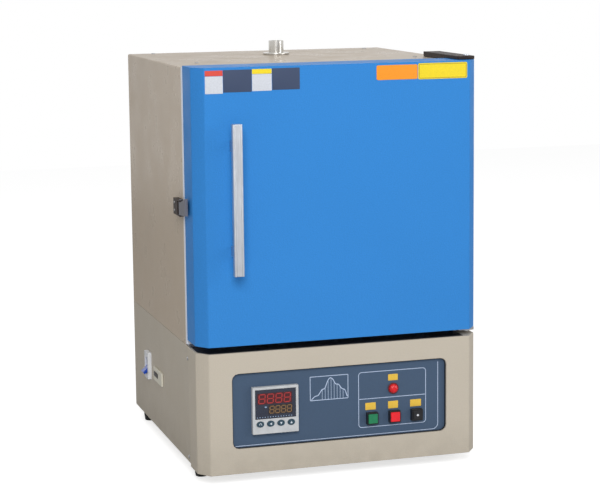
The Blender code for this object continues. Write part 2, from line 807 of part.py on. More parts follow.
def build_hinges(dark, steel):
    pivot = (PIVOT_X, PIVOT_Y)
    arm_x = (HALF_WIDTH - ARM_WIDTH, HALF_WIDTH)
    nose = PIVOT_Y - ARM_NOSE

    def arm_outline(rear):
        corners = [(arm_x[0], rear), (arm_x[0], nose), (arm_x[1], nose), (arm_x[1], rear)]
        return with_bends(corners, [0.0, ARM_BEND, ARM_BEND, 0.0])

    low = DOOR_TOP + ARM_CLEARANCE
    upper_z = (low, low + ARM_THICKNESS)
    upper = prism("upper_hinge_arm", arm_outline(UPPER_ARM_REAR), "Z", upper_z, dark)
    packer_z = (CASING_TOP + SEAT, middle(upper_z))
    packer = block("upper_packer", arm_x, (UPPER_PACKER_FRONT, UPPER_ARM_REAR), packer_z)
    weld(upper, packer)
    cut(upper, rod("upper_arm_hole", pivot, PIN_HOLE, "Z", past(upper_z), segments=COARSE))
    head = upper_z[1] + SEAT
    block_z = (DOOR_TOP - SHEET - SEAT - HINGE_BLOCK_HEIGHT, DOOR_TOP - SHEET - SEAT)
    turned(
        "upper_hinge_pin",
        [
            (0.0, block_z[0]),
            (PIN_RADIUS, block_z[0]),
            (PIN_RADIUS, head),
            (PIN_HEAD_RADIUS, head),
            (PIN_HEAD_RADIUS, head + PIN_HEAD_HEIGHT),
            (0.0, head + PIN_HEAD_HEIGHT),
        ],
        "Z",
        pivot,
        steel,
        segments=COARSE,
    )

    high = DOOR_BOTTOM - ARM_CLEARANCE
    lower_z = (high - ARM_THICKNESS, high)
    lower = prism("lower_hinge_arm", arm_outline(LOWER_ARM_REAR), "Z", lower_z, steel)
    foot_z = (BEZEL_TOP + SEAT, middle(lower_z))
    foot = block("lower_packer", arm_x, (LOWER_PACKER_FRONT, LOWER_ARM_REAR), foot_z)
    weld(lower, foot)
    cut(lower, rod("lower_arm_hole", pivot, PIN_HOLE, "Z", past(lower_z), segments=COARSE))
    head = lower_z[0] - SEAT
    top = DOOR_BOTTOM + SHEET + SEAT + HINGE_BLOCK_HEIGHT
    turned(
        "lower_hinge_pin",
        [
            (0.0, head - PIN_HEAD_HEIGHT),
            (PIN_HEAD_RADIUS, head - PIN_HEAD_HEIGHT),
            (PIN_HEAD_RADIUS, head),
            (PIN_RADIUS, head),
            (PIN_RADIUS, top),
            (0.0, top),
        ],
        "Z",
        pivot,
        steel,
        segments=COARSE,
    )


def build_door(blue, white, fibre, steel):
    door = "door_axis"
    pivot = (PIVOT_X, PIVOT_Y)
    add_axis(door, (PIVOT_X, PIVOT_Y, DOOR_BOTTOM))
    door_z = (DOOR_BOTTOM, DOOR_TOP)
    inside_z = (DOOR_BOTTOM + SHEET, DOOR_TOP - SHEET)
    shell = prism("door_shell", front_outline(0.0, 0.0), "Z", door_z, blue, door)
    hollow = prism("door_hollow", front_outline(OVERRUN, SHEET), "Z", inside_z, None, door)
    cut(shell, hollow)
    cut(shell, rod("door_pin_holes", pivot, PIN_HOLE, "Z", past(door_z), None, door, COARSE))

    packed_z = (inside_z[0] + SEAT, inside_z[1] - SEAT)
    liner_y = (-LINER_RECESS - LINER_SHEET, -LINER_RECESS)
    liner = block("door_liner", (-INSIDE, INSIDE), liner_y, packed_z, white, door)
    grow = MOUTH_MARGIN - PLUG_MARGIN
    cut(liner, around_chamber("liner_opening", grow + SEAT, past(liner_y), None, door))

    board_front = DOOR_FRONT + SHEET + SEAT
    board_y = (board_front, board_front + BOARD_DEPTH)
    board_half = INSIDE - HINGE_BLOCK_WIDTH - BOARD_CLEARANCE
    block("door_insulation", (-board_half, board_half), board_y, packed_z, fibre, door)

    plug_y = (board_y[1] + SEAT, PLUG_REACH)
    plug = around_chamber("door_plug", grow, plug_y, fibre, door)
    for vertex in plug.data.vertices:
        if vertex.co.y > 0:
            vertex.co.x -= math.copysign(PLUG_TIP_TAPER, vertex.co.x)
            vertex.co.z -= math.copysign(PLUG_TIP_TAPER, vertex.co.z)

    block_x = (INSIDE - HINGE_BLOCK_WIDTH, INSIDE)
    block_y = around(PIVOT_Y, HINGE_BLOCK_DEPTH)
    ends = (
        ("upper_hinge_block", (packed_z[1] - HINGE_BLOCK_HEIGHT, packed_z[1])),
        ("lower_hinge_block", (packed_z[0], packed_z[0] + HINGE_BLOCK_HEIGHT)),
    )
    for name, z in ends:
        made = block(name, block_x, block_y, z, steel, door)
        bore = rod(name + "_bore", pivot, PIN_HOLE, "Z", past(z), None, door, COARSE)
        cut(made, bore)


def build_handle(aluminium):
    door = "door_axis"
    back = DOOR_FRONT - HANDLE_STANDOFF
    left, right = around(HANDLE_X, HANDLE_WIDTH)
    groove_left, groove_right = around(HANDLE_X, HANDLE_GROOVE_WIDTH)
    floor = HANDLE_FRONT + HANDLE_GROOVE_DEPTH
    outline = [
        (left, back),
        (left, HANDLE_FRONT),
        (groove_left, HANDLE_FRONT),
        (groove_left + HANDLE_GROOVE_DEPTH, floor),
        (groove_right - HANDLE_GROOVE_DEPTH, floor),
        (groove_right, HANDLE_FRONT),
        (right, HANDLE_FRONT),
        (right, back),
    ]
    bends = [HANDLE_ROUND, HANDLE_ROUND, 0.0, 0.0, 0.0, 0.0, HANDLE_ROUND, HANDLE_ROUND]
    place = (HANDLE_X, middle((HANDLE_FRONT, back)), HANDLE_Z)
    prism(
        "handle_bar",
        with_bends(outline, bends),
        "Z",
        around(HANDLE_Z, HANDLE_LENGTH),
        aluminium,
        door,
        place=place,
    )
    leg_offset = HANDLE_LENGTH / 2 - LEG_INSET
    for name, side in (("handle_leg_upper", 1), ("handle_leg_lower", -1)):
        block(
            name,
            around(HANDLE_X, LEG_WIDTH),
            (back + SEAT, DOOR_FRONT - SEAT),
            around(HANDLE_Z + side * leg_offset, LEG_HEIGHT),
            aluminium,
            door,
        )


def build_latch(dark, steel):
    outside = -(HALF_WIDTH + LATCH_STAND)
    root = -(HALF_WIDTH + SEAT)
    axis = (LATCH_AXIS_X, LATCH_AXIS_Y)
    full_z = around(LATCH_Z, LATCH_HEIGHT)
    bracket = block(
        "latch_bracket",
        (outside, root),
        (LATCH_BRACKET_FRONT, LATCH_BRACKET_REAR),
        full_z,
        dark,
    )
    ear_y = (LATCH_BRACKET_FRONT - LATCH_EAR_REACH, LATCH_BRACKET_FRONT + OVERRUN)
    ears = (
        ("latch_ear_upper", (full_z[1] - LATCH_EAR, full_z[1])),
        ("latch_ear_lower", (full_z[0], full_z[0] + LATCH_EAR)),
    )
    for name, z in ears:
        weld(bracket, block(name, (outside, root - LATCH_PIN_RADIUS / 2), ear_y, z))
    hole = LATCH_PIN_RADIUS + RUNNING
    cut(bracket, rod("latch_ear_holes", axis, hole, "Z", past(full_z), segments=COARSE))

    joint = "latch_axis"
    add_axis(joint, (LATCH_AXIS_X, LATCH_AXIS_Y, LATCH_Z))
    body_z = (full_z[0] + LATCH_EAR + SLIDING, full_z[1] - LATCH_EAR - SLIDING)
    low = full_z[0] - SEAT
    high = full_z[1] + SEAT
    lever = turned(
        "latch_lever",
        [
            (0.0, low),
            (LATCH_PIN_RADIUS, low),
            (LATCH_PIN_RADIUS, body_z[0]),
            (LATCH_KNUCKLE_RADIUS, body_z[0]),
            (LATCH_KNUCKLE_RADIUS, body_z[1]),
            (LATCH_PIN_RADIUS, body_z[1]),
            (LATCH_PIN_RADIUS, high),
            (LATCH_HEAD_RADIUS, high),
            (LATCH_HEAD_RADIUS, high + LATCH_HEAD_HEIGHT),
            (0.0, high + LATCH_HEAD_HEIGHT),
        ],
        "Z",
        axis,
        steel,
        joint,
        COARSE,
    )
    neck_y = LATCH_AXIS_Y - LATCH_LEVER_NECK
    tip_y = LATCH_AXIS_Y - LATCH_LEVER_LENGTH
    root_z = (body_z[0] + SEAT, body_z[1] - SEAT)
    flared = [
        (LATCH_AXIS_Y, root_z[0]),
        (LATCH_AXIS_Y, root_z[1]),
        (neck_y, root_z[1]),
        (tip_y, LATCH_Z + LATCH_TIP_TOP),
        (tip_y, LATCH_Z - LATCH_TIP_BOTTOM),
        (neck_y, root_z[0]),
    ]
    plate_x = (outside, outside + LATCH_LEVER_THICKNESS)
    weld(lever, prism("latch_plate", flared, "X", plate_x, None, joint))


def port_body_size():
    """The width and height of the port's body behind its plate."""
    return (PORT_SOCKET_WIDTH + PORT_WALL + PORT_WALL, PORT_SOCKET_HEIGHT + PORT_WALL + PORT_WALL)


def build_base_shell(beige):
    tub = prism(
        "base_tub",
        u_profile(HALF_WIDTH, FOOT_HEIGHT, BASE_TOP, SHEET),
        "Y",
        (TONGUE_FRONT, CASING_DEPTH),
        beige,
    )
    tongue_x = HALF_WIDTH - TONGUE_MARGIN
    for side in (-1, 1):
        x = sorted((side * tongue_x, side * (HALF_WIDTH + OVERRUN)))
        y = (TONGUE_FRONT - OVERRUN, BEZEL_REAR + SEAT)
        cut(tub, block(f"tub_notch_{side}", x, y, past((FOOT_HEIGHT, BASE_TOP))))
    skin = past((-HALF_WIDTH, -HALF_WIDTH + SHEET))
    breaker_hole = block(
        "breaker_cutout",
        skin,
        around(BREAKER_Y, BREAKER_NOSE_WIDTH + SEAT + SEAT),
        around(BREAKER_Z, BREAKER_NOSE_HEIGHT + SEAT + SEAT),
    )
    body = port_body_size()
    port_hole = block(
        "port_cutout",
        skin,
        around(SOCKET_Y, body[0] + SEAT + SEAT),
        around(PORT_Z, body[1] + SEAT + SEAT),
    )
    cut(tub, breaker_hole)
    cut(tub, port_hole)

    rear_y = (REAR_SKIN, CASING_DEPTH)
    rear = block(
        "base_rear_panel",
        (-INSIDE, INSIDE),
        rear_y,
        (FOOT_HEIGHT + SHEET + SEAT, BASE_TOP),
        beige,
    )
    grille_half = FAN_BORE_RADIUS - GRILLE_SLOT_WIDTH
    grille = slots(
        "fan_grille",
        FAN_X,
        GRILLE_SLOTS,
        GRILLE_PITCH,
        GRILLE_SLOT_WIDTH,
        past(rear_y),
        (FAN_Z - grille_half, FAN_Z + grille_half),
    )
    cut(rear, grille)
    gland_hole = GLAND_THREAD_RADIUS + SEAT
    cut(rear, rod("gland_hole", (GLAND_X, GLAND_Z), gland_hole, "Y", past(rear_y)))

    bezel_z = (BEZEL_BOTTOM, BEZEL_TOP)
    bezel = prism("base_front_bezel", front_outline(BEZEL_REAR, 0.0), "Z", bezel_z, beige)
    hollow = prism(
        "bezel_hollow",
        front_outline(BEZEL_REAR + OVERRUN, SHEET),
        "Z",
        (BEZEL_BOTTOM - OVERRUN, BEZEL_TOP - SHEET),
    )
    cut(bezel, hollow)
    window = (WINDOW_X, WINDOW_Z)
    lip_outline = rounded_rectangle(
        window, WINDOW_WIDTH + SHEET + SHEET, WINDOW_HEIGHT + SHEET + SHEET, WINDOW_ROUND + SHEET
    )
    lip_y = (DOOR_FRONT + SHEET / 2, DOOR_FRONT + WINDOW_LIP_DEPTH)
    weld(bezel, prism("window_lip", lip_outline, "Y", lip_y))
    window_outline = rounded_rectangle(window, WINDOW_WIDTH, WINDOW_HEIGHT, WINDOW_ROUND)
    window_y = past((DOOR_FRONT, DOOR_FRONT + WINDOW_LIP_DEPTH))
    cut(bezel, prism("window_cut", window_outline, "Y", window_y))


def build_feet(rubber):
    x = HALF_WIDTH - FOOT_INSET
    rear_y = CASING_DEPTH - FOOT_REAR_INSET
    places = (
        ("foot_front_left", (-x, FOOT_FRONT_Y)),
        ("foot_front_right", (x, FOOT_FRONT_Y)),
        ("foot_rear_left", (-x, rear_y)),
        ("foot_rear_right", (x, rear_y)),
    )
    profile = [
        (0.0, 0.0),
        (FOOT_TIP_RADIUS, 0.0),
        (FOOT_RADIUS, FOOT_HEIGHT / 2),
        (FOOT_RADIUS, FOOT_HEIGHT - SEAT),
        (0.0, FOOT_HEIGHT - SEAT),
    ]
    for name, centre in places:
        turned(name, profile, "Z", centre, rubber, segments=COARSE)


def button_places():
    return (
        ("start_button", STOP_BUTTON_X - BUTTON_PITCH),
        ("stop_button", STOP_BUTTON_X),
        ("mode_button", STOP_BUTTON_X + BUTTON_PITCH),
    )


def build_control_panel(panel_blue):
    window = (WINDOW_X, WINDOW_Z)
    panel_y = (PANEL_FRONT, PANEL_FRONT + PANEL_THICKNESS)
    grow = PANEL_MARGIN + PANEL_MARGIN
    panel = block(
        "control_panel",
        around(window[0], WINDOW_WIDTH + grow),
        panel_y,
        around(window[1], WINDOW_HEIGHT + grow),
        panel_blue,
    )
    opening = CONTROLLER_CASE + SEAT + SEAT
    controller_hole = block(
        "controller_cutout",
        around(CONTROLLER_X, opening),
        past(panel_y),
        around(CONTROLLER_Z, opening),
    )
    cut(panel, controller_hole)
    centres = [(x, BUTTON_Z) for _, x in button_places()] + [(LAMP_X, LAMP_Z)]
    for index, centre in enumerate(centres):
        name = f"panel_hole_{index}"
        tool = rod(name, centre, PANEL_HOLE_RADIUS, "Y", past(panel_y), segments=COARSE)
        cut(panel, tool)


def key_places():
    first = CONTROLLER_X - (KEY_COUNT - 1) / 2 * KEY_PITCH
    return [(first + index * KEY_PITCH, KEY_Z) for index in range(KEY_COUNT)]


def build_controller(pale_plastic, display_black, key_black):
    face = CONTROLLER_FACE
    square = around(CONTROLLER_Z, CONTROLLER_SIZE)
    body = block(
        "controller_body",
        around(CONTROLLER_X, CONTROLLER_SIZE),
        (face, PANEL_SEAT),
        square,
        pale_plastic,
    )
    case = block(
        "controller_case",
        around(CONTROLLER_X, CONTROLLER_CASE),
        (PANEL_SEAT - OVERRUN, PANEL_FRONT + CONTROLLER_CASE_DEPTH),
        around(CONTROLLER_Z, CONTROLLER_CASE),
    )
    weld(body, case)

    display_x = around(CONTROLLER_X, CONTROLLER_SIZE - DISPLAY_MARGIN - DISPLAY_MARGIN)
    display_z = (KEY_Z + KEY_RADIUS_Z + DISPLAY_KEY_GAP, square[1] - DISPLAY_MARGIN)
    display_y = (face + DISPLAY_RECESS, face + DISPLAY_RECESS + DISPLAY_THICKNESS)
    recess = block(
        "display_recess",
        (display_x[0] - SEAT, display_x[1] + SEAT),
        (face - OVERRUN, display_y[1] + SEAT),
        (display_z[0] - SEAT, display_z[1] + SEAT),
    )
    cut(body, recess)
    block("controller_window", display_x, display_y, display_z, display_black)

    key_y = (face - KEY_PROUD, face - KEY_PROUD + KEY_LENGTH)
    pocket_y = (face - OVERRUN, key_y[1] + KEY_TRAVEL + SEAT)
    for index, centre in enumerate(key_places()):
        name = f"controller_key_{index + 1}"
        room = oval(centre, KEY_RADIUS_X + SLIDING, KEY_RADIUS_Z + SLIDING, COARSE)
        cut(body, prism(name + "_pocket", room, "Y", pocket_y))
        outline = oval(centre, KEY_RADIUS_X, KEY_RADIUS_Z, COARSE)
        place = (centre[0], middle(key_y), centre[1])
        prism(name, outline, "Y", key_y, key_black, smooth=True, place=place)


def build_buttons(black, caps):
    face = PANEL_SEAT - BUTTON_PROUD
    pocket_y = (face - OVERRUN, PANEL_SEAT - BUTTON_FLOOR)
    cap_y = (face - BUTTON_CAP_PROUD, pocket_y[1] - SEAT - BUTTON_TRAVEL)
    barrel_y = (PANEL_SEAT - BUTTON_FLOOR / 2, PANEL_FRONT + BUTTON_BARREL_LENGTH)
    pocket_size = BUTTON_SIZE - BUTTON_RIM - BUTTON_RIM
    cap_size = pocket_size - SLIDING - SLIDING
    for name, x in button_places():
        centre = (x, BUTTON_Z)
        square = (around(x, BUTTON_SIZE), around(BUTTON_Z, BUTTON_SIZE))
        bezel = block(name + "_bezel", square[0], (face, PANEL_SEAT), square[1], black)
        radius = BUTTON_BARREL_RADIUS
        weld(bezel, rod(name + "_barrel", centre, radius, "Y", barrel_y, segments=COARSE))
        room = (around(x, pocket_size), around(BUTTON_Z, pocket_size))
        cut(bezel, block(name + "_pocket", room[0], pocket_y, room[1]))
        bore_y = (face, barrel_y[1] + OVERRUN)
        radius = BUTTON_STEM_RADIUS + SLIDING
        cut(bezel, rod(name + "_bore", centre, radius, "Y", bore_y, segments=COARSE))

        wide = (around(x, cap_size), around(BUTTON_Z, cap_size))
        cap = block(name + "_cap", wide[0], cap_y, wide[1], caps[name])
        stem_y = (cap_y[1] - BUTTON_CAP_PROUD, cap_y[1] + BUTTON_STEM_LENGTH)
        radius = BUTTON_STEM_RADIUS
        weld(cap, rod(name + "_stem", centre, radius, "Y", stem_y, segments=COARSE))


def build_lamp(red):
    back = PANEL_SEAT
    flange = back - LAMP_FLANGE_THICKNESS
    profile = [(0.0, PANEL_FRONT + BUTTON_BARREL_LENGTH)]
    profile.append((BUTTON_BARREL_RADIUS, PANEL_FRONT + BUTTON_BARREL_LENGTH))
    profile.append((BUTTON_BARREL_RADIUS, back))
    profile.append((LAMP_FLANGE_RADIUS, back))
    profile.append((LAMP_FLANGE_RADIUS, flange))
    dome = arc((0.0, flange), LAMP_DOME_RADIUS, -LAMP_DOME_HEIGHT, 0.0, math.pi / 2, 5)
    profile += dome[:-1]
    profile.append((0.0, dome[-1][1]))
    turned("heating_lamp", profile, "Y", (LAMP_X, LAMP_Z), red, segments=COARSE)


def build_breaker(white_plastic, lever_blue):
    inside = -(HALF_WIDTH - SHEET - SEAT)
    nose_x = (-(HALF_WIDTH + BREAKER_PROUD), inside + OVERRUN)
    body = block(
        "breaker_body",
        nose_x,
        around(BREAKER_Y, BREAKER_NOSE_WIDTH),
        around(BREAKER_Z, BREAKER_NOSE_HEIGHT),
        white_plastic,
    )
    rear = block(
        "breaker_rear",
        (inside, inside + BREAKER_BODY_DEPTH),
        around(BREAKER_Y, BREAKER_BODY_WIDTH),
        around(BREAKER_Z, BREAKER_BODY_HEIGHT),
    )
    weld(body, rear)
    slot_end = BREAKER_AXIS_X + LEVER_DRUM_RADIUS + LEVER_DRUM_GAP
    slot = block(
        "breaker_slot",
        (nose_x[0] - OVERRUN, slot_end),
        around(BREAKER_Y, BREAKER_SLOT_WIDTH),
        around(BREAKER_Z, BREAKER_SLOT_HEIGHT),
    )
    cut(body, slot)

    joint = "breaker_axis"
    add_axis(joint, (BREAKER_AXIS_X, BREAKER_Y, BREAKER_Z))
    width = BREAKER_SLOT_WIDTH - LEVER_DRUM_GAP - LEVER_DRUM_GAP
    lever_y = around(BREAKER_Y, width)
    centre = (BREAKER_AXIS_X, BREAKER_Z)
    drum = rod(
        "breaker_lever", centre, LEVER_DRUM_RADIUS, "Y", lever_y, lever_blue, joint, COARSE
    )
    paddle = block(
        "lever_paddle",
        (BREAKER_AXIS_X - LEVER_REACH, BREAKER_AXIS_X),
        (lever_y[0] + SEAT, lever_y[1] - SEAT),
        around(BREAKER_Z, LEVER_THICKNESS),
        None,
        joint,
    )
    for vertex in paddle.data.vertices:
        vertex.co.x -= LEVER_REACH / 2
    paddle.location = (0.0, 0.0, 0.0)
    paddle.rotation_euler = (0.0, -LEVER_REST, 0.0)
    weld(drum, paddle)


def build_port(cream):
    root = -(HALF_WIDTH + SEAT)
    face = root - PORT_PLATE_THICKNESS
    plate = block(
        "signal_port",
        (face, root),
        around(PORT_Y, PORT_PLATE_WIDTH),
        around(PORT_Z, PORT_PLATE_HEIGHT),
        cream,
    )
    size = port_body_size()
    body = block(
        "port_body",
        (root - PORT_PLATE_THICKNESS / 2, root + PORT_BODY_DEPTH),
        around(SOCKET_Y, size[0]),
        around(PORT_Z, size[1]),
    )
    weld(plate, body)
    socket = block(
        "port_socket",
        (face - OVERRUN, face + PORT_SOCKET_DEPTH),
        around(SOCKET_Y, PORT_SOCKET_WIDTH),
        around(PORT_Z, PORT_SOCKET_HEIGHT),
    )
    cut(plate, socket)


def build_fan(black):
    y = (FAN_REAR - FAN_DEPTH, FAN_REAR)
    centre = (FAN_X, FAN_Z)
    frame = block("fan_frame", around(FAN_X, FAN_SIZE), y, around(FAN_Z, FAN_SIZE), black)
    cut(frame, rod("fan_bore", centre, FAN_BORE_RADIUS, "Y", past(y)))
    stator_y = (y[0], y[0] + FAN_STATOR_THICKNESS)
    stator = rod("fan_stator", centre, FAN_STATOR_RADIUS, "Y", stator_y, segments=COARSE)
    reach = FAN_BORE_RADIUS + FAN_RIM / 2
    reach_x = (FAN_X - reach, FAN_X + reach)
    reach_z = (FAN_Z - reach, FAN_Z + reach)
    strut_x = block("fan_strut_x", reach_x, stator_y, around(FAN_Z, FAN_STRUT_WIDTH))
    strut_z = block("fan_strut_z", around(FAN_X, FAN_STRUT_WIDTH), stator_y, reach_z)
    weld(stator, strut_x)
    weld(stator, strut_z)
    weld(frame, stator)

    joint = "fan_axis"
    add_axis(joint, (FAN_X, middle(y), FAN_Z))
    hub_y = (stator_y[1] + FAN_HUB_GAP, stator_y[1] + FAN_HUB_GAP + FAN_HUB_LENGTH)
    hub = rod("fan_rotor", centre, FAN_HUB_RADIUS, "Y", hub_y, black, joint)
    tip = FAN_BORE_RADIUS - FAN_BLADE_TIP_GAP
    root = FAN_HUB_RADIUS - FAN_BLADE_THICKNESS
    bm = bmesh.new()
    for index in range(FAN_BLADES):
        made = bmesh.ops.create_cube(bm, size=1)["verts"]
        size = (tip - root, FAN_BLADE_CHORD, FAN_BLADE_THICKNESS)
        bmesh.ops.scale(bm, vec=size, verts=made)
        pitch = Matrix.Rotation(math.radians(FAN_BLADE_DEGREES), 3, "X")
        bmesh.ops.rotate(bm, matrix=pitch, verts=made)
        bmesh.ops.translate(bm, vec=((tip + root) / 2, 0.0, 0.0), verts=made)
        around_hub = Matrix.Rotation(2 * math.pi * index / FAN_BLADES, 3, "Y")
        bmesh.ops.rotate(bm, matrix=around_hub, verts=made)
    place = (FAN_X, middle(hub_y), FAN_Z)
    blades = add_object("fan_blades", mesh_from(bm, "fan_blades"), place, None, joint)
    weld(hub, blades)


def build_gland(black):
    seat = CASING_DEPTH + SEAT
    thread_end = seat - GLAND_THREAD_LENGTH
    turned(
        "cable_gland",
        [
            (GLAND_BORE_RADIUS, thread_end),
            (GLAND_THREAD_RADIUS, thread_end),
            (GLAND_THREAD_RADIUS, seat),
            (GLAND_FLANGE_RADIUS, seat),
            (GLAND_FLANGE_RADIUS, seat + GLAND_FLANGE_LENGTH),
            (GLAND_NECK_RADIUS, seat + GLAND_LENGTH),
            (GLAND_BORE_RADIUS, seat + GLAND_LENGTH),
        ],
        "Y",
        (GLAND_X, GLAND_Z),
        black,
        segments=COARSE,
        bored=True,
    )


def build_relay(pale_plastic):
    relay_z = FOOT_HEIGHT + SHEET + SEAT
    block(
        "solid_state_relay",
        around(RELAY_X, RELAY_WIDTH),
        around(RELAY_Y, RELAY_LENGTH),
        (relay_z, relay_z + RELAY_HEIGHT),
        pale_plastic,
    )


def main():
    clear_scene()
    add_axis(FURNACE, (0.0, 0.0, 0.0))
    beige = finish("beige_enamel", (0.52, 0.45, 0.34), 0.45)
    blue = finish("blue_enamel", (0.055, 0.25, 0.68), 0.4)
    white = finish("white_enamel", (0.72, 0.74, 0.76), 0.4)
    panel_blue = finish("panel_film", (0.10, 0.16, 0.26), 0.5)
    steel = finish("plain_steel", (0.55, 0.55, 0.56), 0.35, 1.0)
    dark = finish("blackened_steel", (0.05, 0.045, 0.045), 0.5, 0.6)
    aluminium = finish("satin_aluminium", (0.75, 0.75, 0.76), 0.35, 1.0)
    alloy = finish("heating_alloy", (0.25, 0.22, 0.20), 0.6, 1.0)
    fibre = finish("ceramic_fibre", (0.82, 0.80, 0.74), 0.95)
    ceramic = finish("alumina_ceramic", (0.78, 0.75, 0.68), 0.8)
    rubber = finish("black_rubber", (0.02, 0.02, 0.02), 0.8)
    black = finish("black_plastic", (0.02, 0.02, 0.022), 0.45)
    pale = finish("pale_plastic", (0.60, 0.60, 0.58), 0.5)
    display_black = finish("display_window", (0.015, 0.03, 0.05), 0.1)
    key_black = finish("key_rubber", (0.03, 0.05, 0.06), 0.5)
    cream = finish("cream_plastic", (0.72, 0.69, 0.56), 0.5)
    white_plastic = finish("white_plastic", (0.78, 0.78, 0.78), 0.45)
    lever_blue = finish("blue_plastic", (0.03, 0.12, 0.55), 0.4)
    red = finish("red_lens", (0.75, 0.01, 0.02), 0.2)
    caps = {
        "start_button": finish("green_cap", (0.01, 0.28, 0.11), 0.35),
        "stop_button": finish("red_cap", (0.70, 0.01, 0.02), 0.35),
        "mode_button": black,
    }
    build_casing(beige, steel, white)
    build_gasket(fibre)
    build_lagging(fibre, steel)
    build_elements(alloy)
    build_chamber_fittings(ceramic, steel)
    build_hinges(dark, steel)
    build_door(blue, white, fibre, steel)
    build_handle(aluminium)
    build_latch(dark, steel)
    build_base_shell(beige)
    build_feet(rubber)
    build_control_panel(panel_blue)
    build_controller(pale, display_black, key_black)
    build_buttons(black, caps)
    build_lamp(red)
    build_breaker(white_plastic, lever_blue)
    build_port(cream)
    build_fan(black)
    build_gland(black)
    build_relay(pale)


main()
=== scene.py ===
"""The look of a bench box furnace: its finishes, edges, screws, prints, lights and camera."""

import json
import logging
import math
from dataclasses import dataclass
from enum import Enum

import bmesh
import bpy
import numpy as np
from mathutils import Matrix, Vector

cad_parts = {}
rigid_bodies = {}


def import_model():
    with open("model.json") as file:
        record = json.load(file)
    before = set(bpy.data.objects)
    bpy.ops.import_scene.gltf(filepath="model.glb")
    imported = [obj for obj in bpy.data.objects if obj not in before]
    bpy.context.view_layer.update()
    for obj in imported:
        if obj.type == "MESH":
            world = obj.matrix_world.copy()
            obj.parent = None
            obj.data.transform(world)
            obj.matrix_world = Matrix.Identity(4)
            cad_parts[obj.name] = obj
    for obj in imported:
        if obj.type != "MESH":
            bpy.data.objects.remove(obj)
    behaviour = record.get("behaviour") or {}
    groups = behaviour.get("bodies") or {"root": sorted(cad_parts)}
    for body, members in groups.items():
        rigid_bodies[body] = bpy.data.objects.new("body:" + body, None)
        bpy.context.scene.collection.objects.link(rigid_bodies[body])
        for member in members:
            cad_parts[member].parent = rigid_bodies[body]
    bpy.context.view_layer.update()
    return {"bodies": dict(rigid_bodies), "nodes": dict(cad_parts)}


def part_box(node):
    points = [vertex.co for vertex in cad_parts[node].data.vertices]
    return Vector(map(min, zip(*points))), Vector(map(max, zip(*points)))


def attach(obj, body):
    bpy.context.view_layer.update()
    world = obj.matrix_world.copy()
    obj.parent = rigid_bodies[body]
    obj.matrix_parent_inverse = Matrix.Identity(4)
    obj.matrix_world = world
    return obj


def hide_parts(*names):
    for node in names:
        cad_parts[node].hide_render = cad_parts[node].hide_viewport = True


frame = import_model()

LOG = logging.getLogger("box_furnace")
MM = 0.001
# The layout's zero, in millimetres: the casing's middle, the door's rear edge and the floor.
LAYOUT = np.array((6.7725, -156.7, 0.0))
# The angle in degrees past which a new piece's edge stays sharp.
SHARP = 35.0
# How far a printed or laid-on piece stands off the face under it, in millimetres.
LIFT = 0.02
MADE: dict[str, bpy.types.Material] = {}


class Facing(Enum):
    """Which way a flat detail looks: its axes across, up and out."""

    FRONT = ((1, 0, 0), (0, 0, 1), (0, -1, 0))
    REAR = ((-1, 0, 0), (0, 0, 1), (0, 1, 0))
    LEFT = ((0, -1, 0), (0, 0, 1), (-1, 0, 0))
    RIGHT = ((0, 1, 0), (0, 0, 1), (1, 0, 0))
    TOP = ((1, 0, 0), (0, 1, 0), (0, 0, 1))


class Grain(Enum):
    """Which way a finish's streaks run: the share of the noise scale along X, Y and Z."""

    NONE = (1.0, 1.0, 1.0)
    UPRIGHT = (1.0, 1.0, 0.04)
    ACROSS = (0.04, 1.0, 1.0)


def linear(colour: tuple) -> tuple:
    """A screen colour of 0 to 255 as the linear colour that a shader takes.

    Args:
        colour: red, green and blue, 0 to 255.

    Returns:
        Four numbers: red, green, blue and an alpha of 1.
    """
    c = np.clip(np.array(colour, float) / 255, 0, 1)
    flat = np.where(c <= 0.04045, c / 12.92, ((c + 0.055) / 1.055) ** 2.4)
    return (*flat.tolist(), 1.0)


